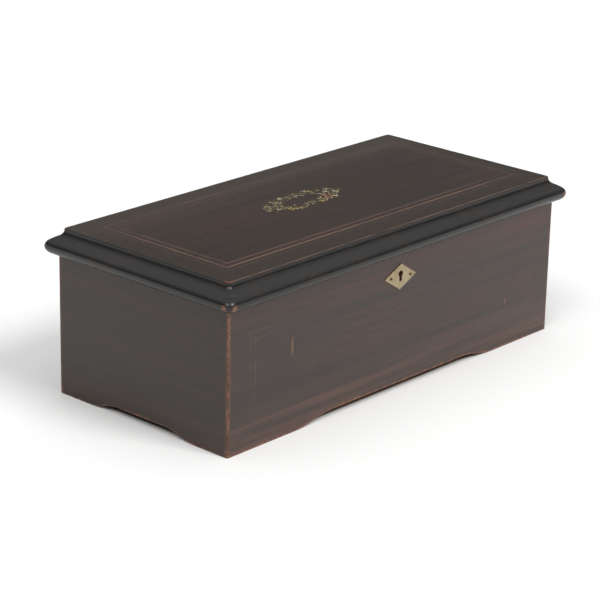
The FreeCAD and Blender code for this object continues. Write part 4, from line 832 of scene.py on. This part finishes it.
# floral garland let into the lid, in metres; a flower is its turn, distance out, kind and size
garland = {
    "centre": (-0.006, 0.0115), "reach": (0.0385, 0.0145), "top": 0.14666, "deep": 0.0004, "seed": 7,
    "kinds": {"gold": "#b09a5c", "olive": "#77734c", "cream": "#b9ad8e", "pink": "#b08468"},
    "inlay": {
        "shader": {"Specular IOR Level": 0.4}, "rough": 0.475, "changes": {"fine": 0.15},
        "noises": {"cloud": ((420, 420, 420), 3, 0.6), "fine": ((2200, 2200, 2200), 1, 0.5)},
        "layers": ((tint("#4a3f33"), "cloud", (0.42, 0.7)),), "raised": "fine", "relief": (0.1, 0.0001),
    },
    "leaf": (0.0048, 0.0021), "petal": (0.003, 0.0023), "sides": 8, "tipFrom": 0.3, "tipWidth": 0.45,
    "chamfer": 0.00008,
    "leaves": 170, "innerOut": (0.58, 0.95), "outerOut": (0.95, 1.2), "lean": (0.4, 1.1),
    "leafSize": (0.55, 1), "leafKinds": (0, 1, 1, 2, 2, 1),
    "petals": 5, "petalReach": 0.0019, "petalSize": (0.85, 1.15), "heartSize": 0.6, "heartKind": 0,
    "stems": 40, "stemOut": 0.92, "stemSize": (1.6, 0.2), "stemKind": 1, "ahead": 0.05,
    "flowers": [
        (4.05, 1.05, 0, 1.3), (3.85, 0.85, 0, 1.1), (4.3, 1.15, 0, 0.9), (3.5, 0.95, 2, 1),
        (3.2, 1.1, 1, 0.9), (5.6, 0.85, 3, 1.3), (5.9, 0.7, 3, 1.1), (5.3, 0.95, 3, 1.1),
        (5, 1, 0, 1.1), (5.45, 1.15, 2, 0.9), (6.15, 1.05, 2, 1.2), (0.15, 0.85, 2, 1),
        (0.45, 1.1, 2, 1), (0.8, 0.85, 3, 0.8), (1.1, 1.1, 2, 0.8), (1.5, 0.9, 3, 0.8),
        (1.9, 1.05, 2, 0.9), (2.3, 0.85, 0, 1), (2.7, 1.05, 2, 0.9), (3, 0.8, 1, 0.9),
    ],
}


def makeLeaf(name, length, width):
    deep = garland["deep"]
    meshOps.primitive_circle_add(vertices=garland["sides"], radius=0.5, fill_type="NGON")
    leaf = added(name)
    editAll(leaf)
    bpy.ops.transform.resize(value=(length, width, 1))
    pickEdges(leaf, lambda a, b, ways: max(a.x, b.x) > length * garland["tipFrom"])
    bpy.ops.transform.resize(value=(1, garland["tipWidth"], 1), center_override=(0, 0, 0))
    meshOps.select_all(action="SELECT")
    meshOps.extrude_region_move(TRANSFORM_OT_translate={"value": (0, 0, deep)})
    pickEdges(leaf, lambda a, b, ways: min(a.z, b.z) > deep / 2)
    meshOps.bevel(offset=garland["chamfer"])
    leaveEdit()
    return leaf


def placed(model, at, angle, size, finish):
    copy = ownCopy(model)
    copy.location = (at[0], at[1], garland["top"] - garland["deep"])
    copy.rotation_euler = (0, 0, angle)
    copy.scale = (size[0], size[1], 1)
    copy.data.materials.clear()
    copy.data.materials.append(finish.material)
    return copy


def makeGarland():
    look = garland
    chance = random.Random(look["seed"])
    kinds = []
    for kind, colour in look["kinds"].items():
        kinds.append(layered(kind + "Inlay", {**look["inlay"], "colour": tint(colour)}))
    leaf = makeLeaf("leafModel", *look["leaf"])
    petal = makeLeaf("petalModel", *look["petal"])
    bits = []
    for step in range(look["leaves"]):
        turn = 2 * math.pi * (step + chance.random()) / look["leaves"]
        out = chance.choice((chance.uniform(*look["innerOut"]), chance.uniform(*look["outerOut"])))
        lean = chance.uniform(*look["lean"]) * (1 if out > look["outerOut"][0] else -1)
        kind = chance.choice(look["leafKinds"])
        size = chance.uniform(*look["leafSize"])
        bits.append(placed(leaf, ringPoint(turn, out), ahead(turn) + lean, (size, size), kinds[kind]))
    for turn, out, kind, size in look["flowers"]:
        heart = ringPoint(turn, out)
        reach = look["petalReach"] * size
        for step in range(look["petals"]):
            angle = step * 2 * math.pi / look["petals"] + turn
            at = (heart[0] + reach * math.cos(angle), heart[1] + reach * math.sin(angle))
            petalSize = size * chance.uniform(*look["petalSize"])
            bits.append(placed(petal, at, angle, (petalSize, petalSize), kinds[kind]))
        heartSize = look["heartSize"] * size
        bits.append(placed(petal, heart, turn, (heartSize, heartSize), kinds[look["heartKind"]]))
    for step in range(look["stems"]):
        turn = 2 * math.pi * step / look["stems"]
        at = ringPoint(turn, look["stemOut"])
        bits.append(placed(leaf, at, ahead(turn), look["stemSize"], kinds[look["stemKind"]]))
    spray = joined(bits, "lidGarland")
    for model in (leaf, petal):
        bpy.data.objects.remove(model)
    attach(spray, "lid")
    return spray


def ahead(turn):
    here = ringPoint(turn, 1.0)
    there = ringPoint(turn + garland["ahead"], 1.0)
    return math.atan2(there[1] - here[1], there[0] - here[0])


def ringPoint(turn, out):
    across, deep = garland["reach"]
    centreX, centreY = garland["centre"]
    return centreX + across * out * math.cos(turn), centreY + deep * out * math.sin(turn)


lidGarland = makeGarland()
print("garland:", len(lidGarland.data.polygons), "faces")


# plates, castings and frames with eased edges that catch the light: width in metres, and nodes
easedLook = {
    "flat": 1, "steps": 2, "sharp": 35, "shade": 50,
    "groups": {
        "barrelCocks": (0.00035, ("barrel_left_cock", "barrel_right_cock")),
        "cylinderCocks": (0.00035, ("cylinder_left_cock", "cylinder_right_cock")),
        "governor": (0.0003, ("governor_frame", "governor_plate", "governor_cock", "lever_bracket")),
        "levers": (0.0002, ("winding_lever", "start_lever", "change_lever", "click")),
        "castings": (0.0006, ("bedplate", "comb_base")),
        "woodwork": (0.0006, ("glass_lid_frame", "left_partition", "right_partition")),
        "fittings": (0.00025, ("lock_case", "lid_catch", "escutcheon", "bass_weights")),
        "domes": (0.0005, ("escutcheon_pins",)),
    },
}


def easeEdges(name, width):
    piece = copyOf((name,), "eased" + name.title().replace("_", ""))
    editAll(piece)
    meshOps.dissolve_limited(angle_limit=math.radians(easedLook["flat"]))
    leaveEdit()
    objectOps.modifier_add(type="BEVEL")
    bevel = piece.modifiers[-1]
    bevel.width = width
    bevel.segments = easedLook["steps"]
    bevel.angle_limit = math.radians(easedLook["sharp"])
    bevel.use_clamp_overlap = False
    objectOps.modifier_apply(modifier=bevel.name)
    evenShade(piece, easedLook["shade"])
    piece.data.materials.append(nodes[name].material_slots[0].material)
    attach(piece, body_of(nodes[name])[0])
    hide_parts(name)
    return piece


eased = [easeEdges(name, width) for width, names in easedLook["groups"].values() for name in names]
print("eased edges:", len(eased), "pieces")


# slotted screws of the hinges, the lock and the movement; sizes in metres, places in millimetres
screwLook = {
    "flush": {"radius": 0.0015, "height": 0.00008, "slot": 0.0005, "deep": 0.00005},
    "round": {"radius": 0.0021, "height": 0.0016, "slot": 0.0006, "deep": 0.0008},
    "sides": 20, "slotFloor": 0.88, "chamfer": 0.00025, "chamferPart": 0.3,
    # dark and dirtyShade colour the slots: painted shade mottled with dirt
    "dark": tint("#0d0c0c"), "dirtyShade": tint("#2a241d"), "dust": ((900, 900, 900), 2, 0.5),
    "rough": 0.5, "dustRough": 0.2, "turn": 3.1, "caseTop": 125, "lidUnder": 125.2,
    "hinges": [(centre + step, 93.2) for centre in (-120, 120) for step in (-16, 0, 16)],
    "lock": [(-30, -91.8), (24, -91.8)], "catch": [(-16.5, -91.2), (10.5, -91.2)],
    "movement": [
        (-90.5, -3.5, 35), (-90.5, 15.5, 35), (-91, 32.8, 35), (-91, 53.8, 35), (-66, -72, 36),
        (-5, -72, 36), (56, -72, 36), (-66, -50, 36), (-5, -50, 36), (56, -50, 36), (103.5, 31, 35),
        (119.5, 31, 35), (99.6, 63.2, 96.04), (123.4, 63.2, 96.04),
    ],
}


def makeScrew(name, size):
    look = screwLook
    half = size["slot"] / 2

    def inSlot(at, way):
        return way.z > facing and abs(at.y) < half

    def onRim(a, b, ways):
        outermost = all(abs(v.xy.length - size["radius"]) < near for v in (a, b))
        return outermost and min(a.z, b.z) > size["height"] / 2

    def screwSide(at, way):
        inside = abs(at.y) < half + near and at.xy.length < size["radius"] / 2
        return "slot" if inside and way.z > -facing else "steel"

    objectOps.select_all(action="DESELECT")
    middle = (0, 0, size["height"] / 2)
    meshOps.primitive_cylinder_add(vertices=look["sides"], radius=size["radius"], depth=size["height"],
                                   location=middle)
    screw = settle(added(name))
    for side in (-half, half):
        editAll(screw)
        meshOps.bisect(plane_co=(0, side, 0), plane_no=(0, 1, 0))
        leaveEdit()
    pickFaces(screw, inSlot)
    meshOps.extrude_region_move(TRANSFORM_OT_translate={"value": (0, 0, -size["deep"])})
    bpy.ops.transform.resize(value=(look["slotFloor"], 1, 1))
    pickEdges(screw, onRim)
    chamfer = min(look["chamfer"], size["height"] * look["chamferPart"])
    meshOps.bevel(offset=chamfer)
    leaveEdit()
    paint(screw, {"steel": finishes["blued_steel"], "slot": slotShade}, screwSide)
    return screw


def screwSet(name, model, spots, body):
    chance = random.Random(len(spots))
    copies = []
    for x, y, z, up in spots:
        copy = ownCopy(model)
        copy.location = (x / 1000, y / 1000, z / 1000)
        copy.rotation_euler = (0 if up else math.pi, 0, chance.uniform(0, screwLook["turn"]))
        copies.append(copy)
    screws = joined(copies, name)
    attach(screws, body)


# painted shade in the screw slots: near black, mottled with dirt
def slotFinish():
    finish = Finish("slotShade", {"Metallic": 1.0})
    dust = finish.noise(*screwLook["dust"])
    colour = finish.mix(dust, screwLook["dark"], screwLook["dirtyShade"])
    return finish.dress(colour, screwLook["rough"] + dust * screwLook["dustRough"])


slotShade = slotFinish()
flushScrew = makeScrew("flushScrew", screwLook["flush"])
roundScrew = makeScrew("roundScrew", screwLook["round"])
caseSpots = [(x, y, screwLook["caseTop"], True) for x, y in screwLook["hinges"] + screwLook["lock"]]
lidSpots = [(x, y, screwLook["lidUnder"], False) for x, y in screwLook["hinges"] + screwLook["catch"]]
screwSet("caseScrews", flushScrew, caseSpots, "case")
screwSet("lidScrews", flushScrew, lidSpots, "lid")
screwSet("movementScrews", roundScrew, [(x, y, z, True) for x, y, z in screwLook["movement"]], "case")
for model in (flushScrew, roundScrew):
    bpy.data.objects.remove(model)
print("screws set:", len(caseSpots) + len(lidSpots) + len(screwLook["movement"]))


# close rows of fine pins on the cylinder, six tunes side by side, in millimetres
pinLook = {
    "axis": (6, 64), "root": 20.9, "tall": 0.9, "thick": 0.15, "lean": 0.12, "seed": 21, "sides": 4,
    "neck": 0.7, "tip": 0.75, "lowPart": 0.6, "first": -76, "teeth": 44, "pitch": 142 / 44,
    "tunes": 6, "apart": 0.45, "each": 26, "blank": 0.35,
}


def makePins():
    look = pinLook
    chance = random.Random(look["seed"])
    thick = look["thick"] / 1000
    tall = look["tall"] / 1000
    objectOps.select_all(action="DESELECT")
    meshOps.primitive_cone_add(vertices=look["sides"], radius1=thick, radius2=thick * look["neck"],
                               depth=tall * look["lowPart"])
    pin = added("pinModel")
    pickFaces(pin, lambda at, way: way.z > facing)
    move = (0, look["lean"] / 1000, tall * (1 - look["lowPart"]))
    meshOps.extrude_region_move(TRANSFORM_OT_translate={"value": move})
    bpy.ops.transform.resize(value=(look["tip"], look["tip"], 1))
    pickFaces(pin, lambda at, way: way.z < -facing)
    meshOps.delete(type="FACE")
    leaveEdit()
    copies = []
    reach = look["root"] + look["tall"] * look["lowPart"] / 2
    for tooth in range(look["teeth"]):
        for step in range(look["each"]):
            tune = chance.randrange(look["tunes"]) - (look["tunes"] - 1) / 2
            turn = chance.uniform(0, 2 * math.pi - look["blank"])
            along = look["first"] + look["pitch"] * (tooth + 0.5) + tune * look["apart"]
            y = look["axis"][0] - reach * math.sin(turn)
            z = look["axis"][1] + reach * math.cos(turn)
            copy = ownCopy(pin)
            copy.location = (along / 1000, y / 1000, z / 1000)
            copy.rotation_euler = (turn, 0, 0)
            copies.append(copy)
    rows = joined(copies, "cylinderFinePins")
    bpy.data.objects.remove(pin)
    rows.data.materials.clear()
    rows.data.materials.append(finishes["steel"].material)
    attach(rows, "cylinder")
    return rows


finePins = makePins()
print("fine pins:", len(finePins.data.polygons), "faces")


# floor with a painted shadow under the case, light and camera; a sky band is the heights it rises between
# and its strength at each
studio = {
    "floor": (0.95, 0.95, 0.945), "cloudy": (0.955, 0.955, 0.95), "cloud": ((1.5, 1.5, 1.5), 2, 0.5),
    "floorShader": {"Roughness": 0.9, "Specular IOR Level": 0.0}, "floorRadius": 45, "floorSides": 64,
    # under is the painted shadow: the floor's dark brown colour beneath the case, its half size and soft
    # edge
    "under": (0.38, 0.29, 0.23), "paintedShadowHalf": (202.5, 92), "paintedShadowSteps": (-1.5, 1.5),
    "overhead": (0.25, 0.85, 0.06, 0.8), "skyline": (0.095, 0.125, 1, 0), "sky": (1, 1, 1, 1),
    "key": {"from": (0.1, -0.7, 0.7), "power": 1.62, "spread": 24},
    "fill": {"from": (-0.62, -0.2, 0.76), "power": 0.8, "spread": 28},
}
photoView = {
    "target": (-0.017794, 0.000723, 0.06), "azimuth": -47.978, "rise": 19.865, "roll": 1.259,
    "distance": 2.010924, "lens": 138.62, "sensor": 36, "farthest": 200,
}


def makeFloor():
    objectOps.select_all(action="DESELECT")
    meshOps.primitive_circle_add(vertices=studio["floorSides"], radius=studio["floorRadius"],
                                 fill_type="NGON")
    floor = added("floor")
    white = Finish("paleFloor", studio["floorShader"])
    cloud = white.noise(*studio["cloud"])
    # painted shadow: the floor turns dark brown under the case's footprint
    edge = white.past(white.x, white.y, studio["paintedShadowHalf"])
    pale = white.mix(cloud, studio["floor"], studio["cloudy"])
    white.dress(white.lay(studio["under"], pale, edge, studio["paintedShadowSteps"]))
    floor.data.materials.append(white.material)


def makeSky():
    scene.world = bpy.data.worlds.new("studioLight")
    scene.world.use_nodes = True
    sky = scene.world.node_tree
    spot = sky.nodes.new("ShaderNodeTexCoord")
    parts = sky.nodes.new("ShaderNodeSeparateXYZ")
    sky.links.new(spot.outputs["Generated"], parts.inputs[0])
    brighter = sky.nodes.new("ShaderNodeMath")
    brighter.operation = "MAXIMUM"
    for place, steps in enumerate((studio["overhead"], studio["skyline"])):
        lift = sky.nodes.new("ShaderNodeMapRange")
        lift.interpolation_type = "SMOOTHSTEP"
        for socket, value in zip(lift.inputs[1:5], steps):
            socket.default_value = value
        sky.links.new(parts.outputs[2], lift.inputs[0])
        sky.links.new(lift.outputs[0], brighter.inputs[place])
    sky.links.new(brighter.outputs[0], sky.nodes["Background"].inputs["Strength"])
    sky.nodes["Background"].inputs["Color"].default_value = studio["sky"]


def makeLights():
    for name in ("key", "fill"):
        lamp = studio[name]
        travel = -Vector(lamp["from"])
        aim = travel.to_track_quat("-Z", "Y").to_euler()
        objectOps.light_add(type="SUN", location=-2 * travel, rotation=aim)
        light = bpy.context.object
        light.name = name + "Light"
        light.data.energy = lamp["power"]
        light.data.angle = math.radians(lamp["spread"])


def setCamera():
    around, lift, lean = (math.radians(photoView[key]) for key in ("azimuth", "rise", "roll"))
    turned = Matrix.Rotation(around, 4, "Z") @ Matrix.Rotation(math.pi / 2 - lift, 4, "X")
    leant = Matrix.Rotation(lean, 4, "Z") @ Matrix.Translation((0, 0, photoView["distance"]))
    objectOps.camera_add()
    camera = bpy.context.object
    camera.name = "photoCamera"
    camera.matrix_world = Matrix.Translation(photoView["target"]) @ turned @ leant
    camera.data.sensor_width = photoView["sensor"]
    camera.data.lens = photoView["lens"]
    camera.data.clip_end = photoView["farthest"]
    scene.camera = camera


makeFloor()
makeSky()
makeLights()
setCamera()
print("studio set")
